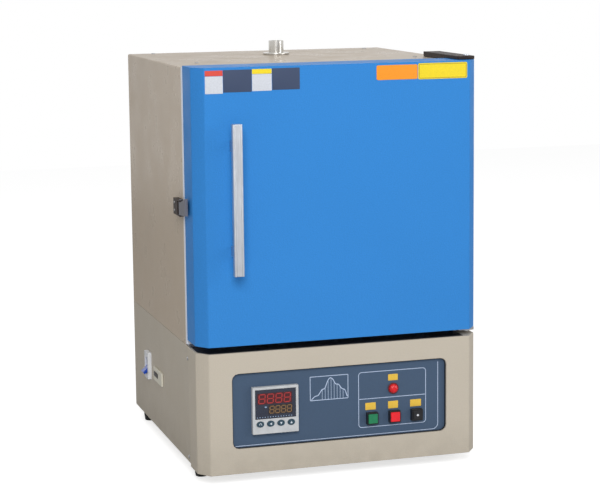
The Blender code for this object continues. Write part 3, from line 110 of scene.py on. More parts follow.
class Wiring:
    """A material's node tree, with short calls for the nodes that the finishes share."""

    def __init__(self, name: str) -> None:
        """Makes the material and keeps its shader and the object's coordinates."""
        self.material = bpy.data.materials.new(name)
        self.material.use_nodes = True
        self.nodes = self.material.node_tree.nodes
        self.links = self.material.node_tree.links
        self.shader = self.nodes["Principled BSDF"]
        self.place = self.nodes.new("ShaderNodeTexCoord").outputs["Object"]

    def set(self, **values: float) -> None:
        """Sets the shader's own sockets, named with underscores for spaces."""
        for name, value in values.items():
            self.shader.inputs[name.replace("_", " ")].default_value = value

    def noise(self, size: float, detail: float = 2.0, grain: Grain = Grain.NONE) -> bpy.types.NodeSocket:
        """Noise whose lumps measure about size metres.

        Args:
            size: the size of a lump in metres.
            detail: how many finer layers are added.
            grain: the way its streaks run.

        Returns:
            The noise's value socket.
        """
        turn = self.nodes.new("ShaderNodeMapping")
        turn.inputs["Scale"].default_value = [share / size for share in grain.value]
        self.links.new(self.place, turn.inputs["Vector"])
        node = self.nodes.new("ShaderNodeTexNoise")
        node.inputs["Scale"].default_value = 1.0
        node.inputs["Detail"].default_value = detail
        self.links.new(turn.outputs["Vector"], node.inputs["Vector"])
        return node.outputs["Fac"]

    def spread(self, value: bpy.types.NodeSocket, low: float, high: float,
               start: float = 0.3, stop: float = 0.7) -> bpy.types.NodeSocket:
        """The value, taken from start and stop to low and high, and held there.

        Args:
            value: the socket to read.
            low: the result at start.
            high: the result at stop.
            start: the value that gives low.
            stop: the value that gives high.

        Returns:
            The result's socket.
        """
        node = self.nodes.new("ShaderNodeMapRange")
        for name, number in zip(("From Min", "From Max", "To Min", "To Max"), (start, stop, low, high)):
            node.inputs[name].default_value = number
        self.links.new(value, node.inputs["Value"])
        return node.outputs["Result"]

    def blend(self, share: bpy.types.NodeSocket, first: tuple, second: tuple) -> bpy.types.NodeSocket:
        """A colour between two screen colours, or two sockets, by share.

        Args:
            share: the socket that says how much of the second shows.
            first: the colour or socket at 0.
            second: the colour or socket at 1.

        Returns:
            The colour's socket.
        """
        node = self.nodes.new("ShaderNodeMix")
        node.data_type = "RGBA"
        self.links.new(share, node.inputs["Factor"])
        for socket, colour in ((node.inputs[6], first), (node.inputs[7], second)):
            if isinstance(colour, bpy.types.NodeSocket):
                self.links.new(colour, socket)
            else:
                socket.default_value = linear(colour)
        return node.outputs[2]

    def colour(self, socket: bpy.types.NodeSocket) -> None:
        """Feeds the shader's colour."""
        self.links.new(socket, self.shader.inputs["Base Color"])

    def roughness(self, socket: bpy.types.NodeSocket) -> None:
        """Feeds the shader's roughness."""
        self.links.new(socket, self.shader.inputs["Roughness"])

    def bump(self, height: bpy.types.NodeSocket, depth: float, strength: float = 1.0) -> None:
        """Feeds the shader's normal from a height.

        Args:
            height: the socket that holds the height, 0 to 1.
            depth: what 1 stands for, in metres.
            strength: how much of it shows.
        """
        node = self.nodes.new("ShaderNodeBump")
        node.inputs["Strength"].default_value = strength
        node.inputs["Distance"].default_value = depth
        self.links.new(height, node.inputs["Height"])
        self.links.new(node.outputs["Normal"], self.shader.inputs["Normal"])


@dataclass(frozen=True)
class Finish:
    """A finish: its name, the record's slot, its colour and its roughness."""

    name: str
    slot: str
    colour: tuple
    roughness: float = 0.45

    def shade(self, factor: float) -> tuple:
        """The colour made lighter or darker by a factor."""
        return tuple(min(255.0, part * factor) for part in self.colour)

    def wire(self, wiring: Wiring) -> None:
        """Wires the finish's own nodes."""
        raise NotImplementedError

    def material(self) -> bpy.types.Material:
        """The finish's material, made once."""
        if self.name not in MADE:
            wiring = Wiring(self.name)
            self.wire(wiring)
            MADE[self.name] = wiring.material
        return MADE[self.name]


@dataclass(frozen=True)
class Enamel(Finish):
    """Baked enamel: slow tone changes, fine speckle, orange peel and a colour that darkens towards the
    bottom.
    """

    speckle: float = 0.03
    peel: float = 0.00012
    coat: float = 0.0
    gloss: float = 0.1
    low_darkening: float = 0.0

    def wire(self, wiring: Wiring) -> None:
        """Tone and speckle into the colour, cloudy roughness, and orange peel as bump."""
        tone = wiring.spread(wiring.noise(0.16, 3.0), 0.0, 1.0)
        base = wiring.blend(tone, self.shade(0.985), self.shade(1.012))
        grit = wiring.spread(wiring.noise(0.0016, 3.0), 0.0, 1.0, 0.32, 0.68)
        spotted = wiring.blend(grit, self.shade(1 - self.speckle), self.shade(1 + self.speckle))
        half = wiring.nodes.new("ShaderNodeMix")
        half.data_type = "RGBA"
        half.inputs["Factor"].default_value = 0.5
        wiring.links.new(base, half.inputs[6])
        wiring.links.new(spotted, half.inputs[7])
        result = half.outputs[2]
        # Darker towards the bottom: below about 75 mm the colour blends towards a grey brown, in cloudy
        # patches.
        if self.low_darkening > 0:
            split = wiring.nodes.new("ShaderNodeSeparateXYZ")
            wiring.links.new(wiring.place, split.inputs[0])
            low = wiring.spread(split.outputs["Z"], self.low_darkening, 0.0, 0.015, 0.075)
            cloud = wiring.nodes.new("ShaderNodeMath")
            cloud.operation = "MULTIPLY"
            wiring.links.new(low, cloud.inputs[0])
            wiring.links.new(wiring.spread(wiring.noise(0.02, 4.0), 0.2, 1.0), cloud.inputs[1])
            result = wiring.blend(cloud.outputs[0], result, (118, 110, 98))
        wiring.colour(result)
        wiring.roughness(wiring.spread(wiring.noise(0.05, 4.0), self.roughness - 0.05, self.roughness + 0.07))
        wiring.set(Coat_Weight=self.coat, Coat_Roughness=0.16, Specular_IOR_Level=self.gloss)
        wiring.bump(wiring.noise(0.0028, 1.0), self.peel)


@dataclass(frozen=True)
class Metal(Finish):
    """Bare or plated metal with streaks the way it was rolled, drawn or brushed, and finger marks."""

    grain: Grain = Grain.ACROSS
    streak: float = 0.0009
    contrast: float = 0.10
    relief: float = 0.00004

    def wire(self, wiring: Wiring) -> None:
        """Streaks into colour, roughness and bump, over slow cloudy marks."""
        streaks = wiring.noise(self.streak, 3.0, self.grain)
        marks = wiring.spread(wiring.noise(0.03, 4.0), 0.0, 1.0)
        bright = wiring.blend(wiring.spread(streaks, 0.0, 1.0), self.shade(1 - self.contrast), self.colour)
        wiring.colour(wiring.blend(wiring.spread(marks, 0.0, 0.35, 0.4, 1.0), bright, self.shade(0.86)))
        wiring.roughness(wiring.spread(streaks, self.roughness - 0.06, self.roughness + 0.1))
        wiring.set(Metallic=1.0)
        wiring.bump(streaks, self.relief)


@dataclass(frozen=True)
class Coated(Finish):
    """A thin dark coating on steel: mottled, half gloss, with small worn spots."""

    worn: float = 0.25

    def wire(self, wiring: Wiring) -> None:
        """Mottling and worn spots into the colour, with a fine grain as bump."""
        mottle = wiring.spread(wiring.noise(0.006, 4.0), 0.0, 1.0)
        base = wiring.blend(mottle, self.shade(0.8), self.shade(1.2))
        spots = wiring.spread(wiring.noise(0.0022, 5.0), 0.0, self.worn, 0.62, 0.74)
        wiring.colour(wiring.blend(spots, base, (128, 120, 112)))
        wiring.roughness(wiring.spread(wiring.noise(0.004, 3.0), self.roughness - 0.08, self.roughness + 0.1))
        wiring.set(Specular_IOR_Level=0.3)
        wiring.bump(wiring.noise(0.0012, 2.0), 0.00006)


@dataclass(frozen=True)
class Moulded(Finish):
    """Moulded plastic or rubber: an even colour with a fine eroded texture."""

    texture: float = 0.00005
    grain_size: float = 0.0007
    gloss: float = 0.0

    def wire(self, wiring: Wiring) -> None:
        """Slow tone into the colour, cloudy roughness, and the mould's texture as bump."""
        tone = wiring.spread(wiring.noise(0.012, 3.0), 0.0, 1.0)
        wiring.colour(wiring.blend(tone, self.shade(0.96), self.shade(1.03)))
        low, high = self.roughness - 0.06, self.roughness + 0.08
        wiring.roughness(wiring.spread(wiring.noise(0.005, 4.0), low, high))
        wiring.set(Coat_Weight=self.gloss, Coat_Roughness=0.08)
        wiring.bump(wiring.noise(self.grain_size, 2.0), self.texture)


@dataclass(frozen=True)
class Fibre(Finish):
    """Pressed ceramic fibre or fired ceramic: matt, with long fibres and small pits."""

    pits: float = 0.0006

    def wire(self, wiring: Wiring) -> None:
        """Crossed fibre streaks and pits into the bump, and a faint scorch into the colour."""
        felt = wiring.noise(0.0022, 5.0, Grain.ACROSS)
        across = wiring.noise(0.003, 5.0, Grain.UPRIGHT)
        both = wiring.nodes.new("ShaderNodeMath")
        both.operation = "ADD"
        wiring.links.new(felt, both.inputs[0])
        wiring.links.new(across, both.inputs[1])
        scorch = wiring.spread(wiring.noise(0.045, 4.0), 0.0, 0.5, 0.45, 0.8)
        base = wiring.blend(wiring.spread(felt, 0.0, 1.0), self.shade(0.93), self.shade(1.02))
        wiring.colour(wiring.blend(scorch, base, (212, 196, 168)))
        wiring.roughness(wiring.spread(felt, self.roughness - 0.04, self.roughness + 0.05))
        wiring.set(Specular_IOR_Level=0.2)
        wiring.bump(both.outputs[0], self.pits, 0.7)


@dataclass(frozen=True)
class Scaled(Finish):
    """Resistance alloy that has been hot: dark scale with rusty and grey patches."""

    def wire(self, wiring: Wiring) -> None:
        """Patches into the colour and the scale as bump."""
        patch = wiring.spread(wiring.noise(0.004, 5.0), 0.0, 1.0)
        wiring.colour(wiring.blend(patch, self.shade(0.7), self.shade(1.35)))
        wiring.roughness(wiring.spread(patch, self.roughness - 0.1, self.roughness + 0.1))
        wiring.set(Metallic=0.6)
        wiring.bump(wiring.noise(0.0012, 4.0), 0.0002)


@dataclass(frozen=True)
class Ink(Finish):
    """Screen-printed ink or a thin plate: nearly even, with the print's fine grain."""

    def wire(self, wiring: Wiring) -> None:
        """Slightly uneven ink into colour, roughness and bump."""
        film = wiring.spread(wiring.noise(0.0012, 3.0), 0.0, 1.0)
        wiring.colour(wiring.blend(film, self.shade(0.96), self.shade(1.02)))
        wiring.roughness(wiring.spread(film, self.roughness - 0.05, self.roughness + 0.05))
        wiring.bump(film, 0.00002)


@dataclass(frozen=True)
class Lit(Finish):
    """A lit segment: its own light, a little uneven across the segment."""

    strength: float = 0.8

    def wire(self, wiring: Wiring) -> None:
        """The colour as emission, over a dark face of the same hue."""
        film = wiring.spread(wiring.noise(0.002, 2.0), 0.0, 1.0)
        glow = wiring.blend(film, self.shade(0.86), self.colour)
        wiring.colour(glow)
        wiring.links.new(glow, wiring.shader.inputs["Emission Color"])
        wiring.roughness(wiring.spread(film, 0.3, 0.45))
        wiring.set(Emission_Strength=self.strength)


@dataclass(frozen=True)
class Lens(Finish):
    """A coloured lens: deep colour under a clear, glossy face."""

    def wire(self, wiring: Wiring) -> None:
        """Darker and lighter depth into the colour under a clear coat."""
        depth = wiring.spread(wiring.noise(0.003, 2.0), 0.0, 1.0)
        wiring.colour(wiring.blend(depth, self.shade(0.82), self.colour))
        wiring.roughness(wiring.spread(depth, self.roughness - 0.05, self.roughness + 0.06))
        wiring.set(Coat_Weight=0.4, Coat_Roughness=0.05, Specular_IOR_Level=0.3)
        wiring.bump(wiring.noise(0.0015, 1.0), 0.00003)


class Finishes:
    """The furnace's finishes, each made once."""

    beige = Enamel("beige_baked_enamel", "beige_enamel", (195, 186, 171), 0.42, low_darkening=0.2)
    beige_hood = Enamel("beige_hood_enamel", "beige_enamel", (196, 181, 162), 0.3, gloss=0.06)
    blue = Enamel("blue_baked_enamel", "blue_enamel", (56, 134, 208), 0.42, speckle=0.06, peel=0.0002,
                  gloss=0.08)
    white = Enamel("white_baked_enamel", "white_enamel", (236, 240, 250), 0.4)
    film = Enamel("slate_blue_film", "panel_film", (74, 92, 115), 0.42, speckle=0.03, peel=0.00003)
    zinc = Metal("zinc_plated_steel", "plain_steel", (176, 176, 178), 0.34)
    bright_pin = Metal("bright_pin_steel", "plain_steel", (226, 230, 238), 0.22, Grain.UPRIGHT)
    stainless = Metal("polished_tube_steel", "plain_steel", (226, 224, 219), 0.2, Grain.UPRIGHT, contrast=0.2)
    dark_steel = Coated("dark_coated_steel", "blackened_steel", (38, 27, 24), 0.52)
    lever_steel = Metal("lever_steel", "plain_steel", (120, 122, 132), 0.38, Grain.UPRIGHT)
    aluminium = Metal("satin_bar_aluminium", "satin_aluminium", (202, 206, 213), 0.36, Grain.UPRIGHT,
                      contrast=0.05)
    alloy = Scaled("scaled_alloy", "heating_alloy", (84, 74, 68), 0.6)
    fibre = Fibre("ceramic_fibre_board", "ceramic_fibre", (232, 229, 220), 0.9)
    ceramic = Fibre("fired_ceramic", "alumina_ceramic", (226, 220, 206), 0.75, pits=0.0003)
    rubber = Moulded("foot_rubber", "black_rubber", (30, 30, 31), 0.75, 0.0001)
    # Black moulding; the same black also serves as painted shade under the door and round the window.
    black = Moulded("black_moulding_and_painted_shade", "black_plastic", (15, 15, 19), 0.4)
    grey = Moulded("light_grey_plastic", "pale_plastic", (196, 198, 200), 0.45)
    window = Moulded("tinted_window", "display_window", (26, 34, 54), 0.22, 0.00001, gloss=0.5)
    key = Moulded("dark_key_rubber", "key_rubber", (30, 62, 78), 0.5)
    cream = Moulded("cream_moulding", "cream_plastic", (222, 218, 202), 0.45)
    ivory = Moulded("white_moulding", "white_plastic", (224, 226, 230), 0.42)
    blue_toggle = Moulded("blue_toggle_moulding", "blue_plastic", (28, 74, 178), 0.3, gloss=0.3)
    red_collar = Moulded("dark_red_collar", "red_lens", (96, 10, 22), 0.3, gloss=0.3)
    red_lens = Lens("red_lamp_lens", "red_lens", (240, 16, 30), 0.25)
    green_cap = Moulded("green_button_moulding", "green_cap", (14, 122, 78), 0.36, gloss=0.1)
    red_cap = Moulded("red_button_moulding", "red_cap", (238, 22, 36), 0.36, gloss=0.1)
    line_ink = Ink("pale_print", "panel_film", (190, 206, 232), 0.5)
    white_ink = Ink("white_print", "panel_film", (214, 222, 232), 0.5)
    pale_plate = Ink("pale_plate", "white_enamel", (206, 210, 218), 0.5)
    slate_plate = Ink("slate_plate", "panel_film", (46, 62, 92), 0.5)
    coral_plate = Ink("coral_plate", "red_lens", (216, 72, 58), 0.5)
    amber_plate = Ink("amber_plate", "cream_plastic", (246, 150, 22), 0.5)
    yellow_plate = Ink("yellow_plate", "cream_plastic", (240, 214, 24), 0.5)
    plate_edge = Ink("plate_edge", "cream_plastic", (150, 128, 30), 0.5)
    label_plate = Ink("label_plate", "cream_plastic", (232, 190, 66), 0.5)
    red_back = Ink("red_filter", "display_window", (70, 12, 20), 0.35)
    amber_back = Ink("amber_filter", "display_window", (38, 26, 24), 0.35)
    red_digit = Lit("red_segments", "red_lens", (158, 44, 44), strength=0.35)
    amber_digit = Lit("amber_segments", "red_lens", (136, 104, 66), strength=0.3)
    pale_dot = Lit("pale_dots", "pale_plastic", (150, 172, 200), strength=0.15)


@dataclass
class Shell:
    """Points and faces of one or more closed shells."""

    points: np.ndarray
    faces: list

    def plus(self, *others: "Shell") -> "Shell":
        """This shell and others as one."""
        points, faces = [self.points], list(self.faces)
        count = len(self.points)
        for other in others:
            faces += [tuple(np.add(face, count).tolist()) for face in other.faces]
            points.append(other.points)
            count += len(other.points)
        return Shell(np.concatenate(points), faces)

    def moved(self, across: float = 0.0, up: float = 0.0, out: float = 0.0) -> "Shell":
        """The shell moved by millimetres in its own plane."""
        return Shell(self.points + np.array((across, up, out)), self.faces)

    def turned(self, degrees: float) -> "Shell":
        """The shell turned in its own plane."""
        c, s = math.cos(math.radians(degrees)), math.sin(math.radians(degrees))
        return Shell(self.points @ np.array(((c, s, 0), (-s, c, 0), (0, 0, 1.0))), self.faces)


def grid_shell(grid: np.ndarray, wrap_rows: bool = False, cap: bool = True) -> Shell:
    """A shell from a grid of points whose columns close on themselves.

    Neighbouring points make quads, and the first and last rows are closed by a face each.

    Args:
        grid: rows by columns by three, in millimetres.
        wrap_rows: whether the last row joins the first.
        cap: whether the first and last rows are closed.

    Returns:
        The closed shell.
    """
    rows, columns = grid.shape[:2]
    i, j = np.meshgrid(np.arange(rows if wrap_rows else rows - 1), np.arange(columns), indexing="ij")
    across, along = (j + 1) % columns, (i + 1) % rows
    here, there = i * columns, along * columns
    quads = np.stack((here + j, here + across, there + across, there + j), -1)
    faces = [tuple(face) for face in quads.reshape(-1, 4).tolist()]
    if cap and not wrap_rows:
        faces.append(tuple(range(columns))[::-1])
        faces.append(tuple(range((rows - 1) * columns, rows * columns)))
    return Shell(grid.reshape(-1, 3).astype(float), faces)


def rounded_outline(width: float, height: float, radius: float, steps: int = 6) -> np.ndarray:
    """A rectangle round zero with round corners, as points in turn.

    Each corner is a quarter circle of the radius round a centre set in from both sides by the radius.

    Args:
        width: across.
        height: up.
        radius: of the corners.
        steps: points in a quarter circle.

    Returns:
        Points by two.
    """
    radius = max(radius, 1e-4)
    angles = np.linspace(0, math.pi / 2, steps)[None, :] + np.arange(4)[:, None] * math.pi / 2
    centres = np.array(((1, 1), (-1, 1), (-1, -1), (1, -1))) * (width / 2 - radius, height / 2 - radius)
    ring = np.stack((np.cos(angles), np.sin(angles)), -1) * radius
    return (centres[:, None, :] + ring).reshape(-1, 2)


def slab(width: float, height: float, thick: float, radius: float = 0.5, edge: float = 0.0) -> Shell:
    """A plate with round corners whose front edge is rounded over.

    Row by row, the outline rises to the thickness less the edge, then shrinks by edge times one less the
    cosine while it rises by edge times the sine.

    Args:
        width: across.
        height: up.
        thick: how far it stands out.
        radius: of the corners.
        edge: radius of the rounded front edge.

    Returns:
        The plate, with its back at zero.
    """
    turn = np.linspace(0, math.pi / 2, 5 if edge > 0 else 1)
    inset = np.concatenate(([0.0], edge * (1 - np.cos(turn))))
    rise = np.concatenate(([0.0], thick - edge + edge * np.sin(turn)))
    rows = [np.column_stack((rounded_outline(width - 2 * cut, height - 2 * cut,
                                             radius - min(cut, radius * 0.9)), np.full(24, level)))
            for cut, level in zip(inset, rise)]
    return grid_shell(np.stack(rows))


def plate(outline: np.ndarray, thick: float) -> Shell:
    """A flat outline raised from zero to a thickness."""
    rows = [np.column_stack((outline, np.full(len(outline), level))) for level in (0.0, thick)]
    return grid_shell(np.stack(rows))


def line(points: np.ndarray, width: float, thick: float = 0.12, closed: bool = False) -> Shell:
    """A flat line along a path: a small rectangle carried along it and mitred at its corners.

    At each point the rectangle lies across the mean of the two directions that meet there, and is widened by
    one over the cosine of half the turn.

    Args:
        points: the path's points by two.
        width: of the line.
        thick: how far it stands out.
        closed: whether the path closes.

    Returns:
        The line's shell.
    """
    path = np.asarray(points, float)
    before = np.roll(path, 1, 0) if closed else np.concatenate((path[:1] * 2 - path[1:2], path[:-1]))
    after = np.roll(path, -1, 0) if closed else np.concatenate((path[1:], path[-1:] * 2 - path[-2:-1]))
    first = (path - before) / np.linalg.norm(path - before, axis=1, keepdims=True)
    second = (after - path) / np.linalg.norm(after - path, axis=1, keepdims=True)
    mean = first + second
    mean /= np.linalg.norm(mean, axis=1, keepdims=True)
    side = np.stack((-mean[:, 1], mean[:, 0]), -1) * (width / 2)
    side /= np.maximum(np.sum(mean * first, 1, keepdims=True), 0.35)
    left, right = path + side, path - side
    low, high = np.zeros((len(path), 1)), np.full((len(path), 1), thick)
    profile = [np.hstack(pair) for pair in ((left, low), (right, low), (right, high), (left, high))]
    return grid_shell(np.stack(profile, 1), wrap_rows=closed)


def turned_shell(profile: tuple, segments: int = 40, ribs: int = 0, rib_depth: float = 0.0) -> Shell:
    """A profile of radius and height turned about the outward axis.

    The radius at an angle is the profile's radius less rib depth times one less the cosine of ribs times the
    angle.

    Args:
        profile: pairs of radius and height, from the back to the front.
        segments: steps round the axis.
        ribs: how many ribs run round it.
        rib_depth: how deep the grooves between them are.

    Returns:
        The turned shell.
    """
    radius, height = np.array(profile, float).T
    angle = np.linspace(0, 2 * math.pi, segments, endpoint=False)
    wave = 1 - rib_depth * (1 - np.cos(ribs * angle)) / 2
    ring = np.stack((np.cos(angle) * wave, np.sin(angle) * wave), -1)
    grid = np.concatenate((radius[:, None, None] * ring[None], np.broadcast_to(
        height[:, None, None], (len(radius), segments, 1))), -1)
    return grid_shell(grid)


def joined(shells: list) -> Shell:
    """Several shells as one."""
    return shells[0].plus(*shells[1:])


def cross_screw(radius: float, rise: float) -> Shell:
    """A pan head with a cross recess.

    Over a polar grid the height is rise times the square root of one less 0.8 of the radius share squared,
    less a recess where the point lies within the cross's arms, whose sides slope.

    Args:
        radius: of the head.
        rise: how far the head stands out.

    Returns:
        The head, with its back at zero.
    """
    share = np.concatenate((np.linspace(1.0, 0.62, 4), np.linspace(0.56, 0.04, 12)))
    angle = np.linspace(0, 2 * math.pi, 48, endpoint=False)
    x, y = share[:, None] * np.cos(angle), share[:, None] * np.sin(angle)
    inside_x = np.clip((0.13 - np.abs(y)) / 0.05, 0, 1) * np.clip((0.56 - np.abs(x)) / 0.1, 0, 1)
    inside_y = np.clip((0.13 - np.abs(x)) / 0.05, 0, 1) * np.clip((0.56 - np.abs(y)) / 0.1, 0, 1)
    height = rise * np.sqrt(1 - 0.8 * share[:, None] ** 2) - 0.55 * rise * np.maximum(inside_x, inside_y)
    grid = np.stack((x * radius, y * radius, height), -1)
    foot = grid[:1].copy()
    foot[..., 2] = 0.0
    return grid_shell(np.concatenate((foot, grid)))


def placed(shell: Shell, facing: Facing, x: float, y: float, z: float) -> Shell:
    """A flat shell set on the furnace, in metres in the frame.

    Args:
        shell: in millimetres, across, up and out.
        facing: the way it looks.
        x: the layout's place across, in millimetres.
        y: the layout's place in depth.
        z: its height above the floor.

    Returns:
        The shell in the frame.
    """
    axes = np.array(facing.value, float)
    return Shell((shell.points @ axes + np.array((x, y, z)) + LAYOUT) * MM, shell.faces)


def finished(mesh: bpy.types.Mesh, name: str, finish: Finish, body: str,
             sharp: float = SHARP) -> bpy.types.Object:
    """Adds a mesh in the frame as a piece: shaded, given its finish, and riding on its body.

    Args:
        mesh: in metres, in the frame.
        name: the piece's name.
        finish: what it is finished with.
        body: the CAD body that it rides on.
        sharp: the angle in degrees past which an edge stays sharp.

    Returns:
        The piece.
    """
    mesh.shade_smooth()
    mesh.set_sharp_from_angle(angle=math.radians(sharp))
    mesh.materials.clear()
    mesh.materials.append(finish.material())
    piece = bpy.data.objects.new(name, mesh)
    bpy.context.scene.collection.objects.link(piece)
    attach(piece, body)
    return piece


def add_shell(name: str, shell: Shell, finish: Finish, body: str = "housing",
              sharp: float = SHARP) -> bpy.types.Object:
    """Makes a piece of a shell that stands in the frame.

    Args:
        name: the piece's name.
        shell: in metres, in the frame.
        finish: what it is finished with.
        body: the CAD body that it rides on.
        sharp: the angle past which an edge stays sharp.

    Returns:
        The piece.
    """
    mesh = bpy.data.meshes.new(name)
    mesh.from_pydata(shell.points.tolist(), [], shell.faces)
    work = bmesh.new()
    work.from_mesh(mesh)
    bmesh.ops.remove_doubles(work, verts=work.verts, dist=2e-7)
    bmesh.ops.recalc_face_normals(work, faces=work.faces)
    work.to_mesh(mesh)
    work.free()
    LOG.info("%s: %d points, on %s", name, len(mesh.vertices), body)
    return finished(mesh, name, finish, body, sharp)


def body_of(node: str) -> str:
    """The name of the body that a CAD node rides on."""
    parent = frame["nodes"][node].parent
    return next(name for name, empty in frame["bodies"].items() if empty == parent)


def softened(node: str, finish: Finish, width: float, steps: int = 3,
             angle: float = 32.0) -> bpy.types.Object:
    """A CAD node's own shape with its edges rounded over.

    The copy's triangles are merged and its flat faces dissolved, and a bevel rounds each edge past the angle.

    Args:
        node: the CAD node that it stands for.
        finish: what it is finished with.
        width: of the rounded edge, in millimetres.
        steps: faces across the rounded edge.
        angle: the angle in degrees past which an edge is rounded.

    Returns:
        The piece.
    """
    mesh = frame["nodes"][node].data.copy()
    work = bmesh.new()
    work.from_mesh(mesh)
    bmesh.ops.remove_doubles(work, verts=work.verts, dist=2e-6)
    bmesh.ops.dissolve_limit(work, angle_limit=math.radians(0.8), verts=work.verts, edges=work.edges)
    bmesh.ops.recalc_face_normals(work, faces=work.faces)
    work.to_mesh(mesh)
    work.free()
    for name in [a.name for a in mesh.attributes if a.name in ("custom_normal", "sharp_edge", "sharp_face")]:
        mesh.attributes.remove(mesh.attributes[name])
    piece = finished(mesh, f"{node}_finished", finish, body_of(node), 180.0)
    bevel = piece.modifiers.new("rounded_edges", "BEVEL")
    bevel.width = width * MM
    bevel.segments = steps
    bevel.limit_method = "ANGLE"
    bevel.angle_limit = math.radians(angle)
    bevel.harden_normals = True
    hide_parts(node)
    LOG.info("%s: edges rounded by %.2f mm", node, width)
    return piece


def dressed(node: str, finish: Finish) -> None:
    """Gives a CAD node that keeps its shape its finish."""
    mesh = frame["nodes"][node].data
    mesh.materials.clear()
    mesh.materials.append(finish.material())
    LOG.info("%s: dressed in %s", node, finish.name)


@dataclass
class Casing:
    """The hood over the muffle, its front frame, gasket, rear panel and screws."""

    hood_edge: float = 0.5
    frame_edge: float = 0.8
    screw_radius: float = 3.4
    screw_rise: float = 1.6
    screw_turn: float = 20.0
    hood_screws: tuple = ((-184.6, 381.6), (-178.8, 97.5), (189.4, 370.2), (182.0, 97.5))
    rear_screws: tuple = ((-205.0, 232.0), (205.0, 232.0), (-205.0, 600.0), (205.0, 600.0),
                          (-205.0, 416.0), (205.0, 416.0))

    def build(self) -> None:
        """Finishes the sheets and sets the screws."""
        softened("cabinet_wrap", Finishes.beige_hood, self.hood_edge)
        softened("front_frame", Finishes.white, self.frame_edge)
        dressed("cabinet_rear_panel", Finishes.beige)
        dressed("door_gasket", Finishes.fibre)
        dressed("deck_plate", Finishes.zinc)
        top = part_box("cabinet_wrap")[1].z / MM
        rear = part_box("cabinet_rear_panel")[1].y / MM - LAYOUT[1]
        screw = cross_screw(self.screw_radius, self.screw_rise)
        heads = [placed(screw, Facing.TOP, x, y, top) for x, y in self.hood_screws]
        add_shell("hood_screws", joined(heads), Finishes.zinc)
        heads = [placed(screw.turned(self.screw_turn * place), Facing.REAR, x, rear, z)
                 for place, (x, z) in enumerate(self.rear_screws)]
        add_shell("rear_panel_screws", joined(heads), Finishes.zinc)


@dataclass
class Muffle:
    """The chamber: its case, boards, elements, hearth, thermocouple and exhaust."""

    boards: tuple = ("floor", "roof", "left", "right", "rear")
    board_edge: float = 1.5
    hearth_edge: float = 1.0
    tube_edge: float = 0.4
    flange_edge: float = 0.6

    def build(self) -> None:
        """Finishes the chamber's pieces."""
        dressed("inner_case", Finishes.zinc)
        for board in self.boards:
            softened(f"{board}_insulation", Finishes.fibre, self.board_edge, 2)
        for side in ("left", "right"):
            dressed(f"heating_element_{side}", Finishes.alloy)
        softened("hearth_plate", Finishes.ceramic, self.hearth_edge, 2)
        dressed("thermocouple", Finishes.ceramic)
        softened("exhaust_tube", Finishes.stainless, self.tube_edge, 2)
        softened("exhaust_flange", Finishes.stainless, self.flange_edge, 2)


@dataclass
class Door:
    """The blue door, its lining and the blank plates on its front."""

    shell_edge: float = 1.0
    liner_edge: float = 0.4
    plug_edge: float = 2.0
    border_inset: float = 3.4
    large_plate: float = 60.0
    corners: tuple = (0.8, 2.4)
    plate_edge: float = 0.15
    plane: float = -70.4
    gap: float = 0.05
    plate_thick: float = 0.35
    slate: tuple = ((-180.4, -136.7, 595.4, 628.4), (-105.4, -62.6, 597.0, 629.0))
    pale: tuple = ((-207.9, -180.9, 594.0, 619.6), (-136.2, -106.0, 596.2, 621.0))
    coral: tuple = ((-207.9, -180.9, 620.0, 628.0),)
    amber: tuple = ((58.3, 124.0, 606.4, 628.6),)
    yellow: tuple = ((125.0, 204.7, 605.6, 630.0), (-136.2, -106.0, 621.4, 628.6))

    def label(self, left: float, right: float, low: float, high: float) -> Shell:
        """A blank plate on the door's front between two sides and two heights."""
        corner = self.corners[right - left > self.large_plate]
        thin = slab(right - left, high - low, self.plate_thick, corner, self.plate_edge)
        return placed(thin, Facing.FRONT, (left + right) / 2, self.plane - self.gap, (low + high) / 2)

    def build(self) -> None:
        """Finishes the door and sets the blank plates."""
        softened("door_shell", Finishes.blue, self.shell_edge)
        softened("door_liner", Finishes.zinc, self.liner_edge, 2)
        dressed("door_insulation", Finishes.fibre)
        softened("door_plug", Finishes.fibre, self.plug_edge, 3)
        left, right, low, high = self.yellow[0]
        wide, tall = right - left - self.border_inset, high - low - self.border_inset
        border = line(rounded_outline(wide, tall, 1.6, 6), 0.7, 0.1, True)
        front = self.plane - self.gap - self.plate_thick
        border = placed(border, Facing.FRONT, (left + right) / 2, front, (low + high) / 2)
        add_shell("blank_plate_border", border, Finishes.plate_edge, "door")
        for name in ("slate", "pale", "coral", "amber", "yellow"):
            plates = [self.label(*row) for row in getattr(self, name)]
            add_shell(f"blank_plates_{name}", joined(plates), getattr(Finishes, f"{name}_plate"), "door")


@dataclass
class Handle:
    """The upright bar handle on its two legs."""

    edge: float = 3.2
    leg_edge: float = 0.5

    def build(self) -> None:
        """Finishes the bar and its legs."""
        softened("handle_bar", Finishes.aluminium, self.edge, 4)
        for level in ("upper", "lower"):
            softened(f"handle_leg_{level}", Finishes.aluminium, self.leg_edge)


@dataclass
class Hinges:
    """The two dark hinge arms, their pins and the blocks in the door."""

    edge: float = 0.6
    pin_edge: float = 0.5

    def build(self) -> None:
        """Finishes the arms, pins and blocks."""
        for level, steel in (("upper", Finishes.dark_steel), ("lower", Finishes.zinc)):
            softened(f"{level}_hinge_arm", steel, self.edge)
            softened(f"{level}_hinge_pin", Finishes.bright_pin, self.pin_edge)
            dressed(f"{level}_hinge_block", Finishes.zinc)


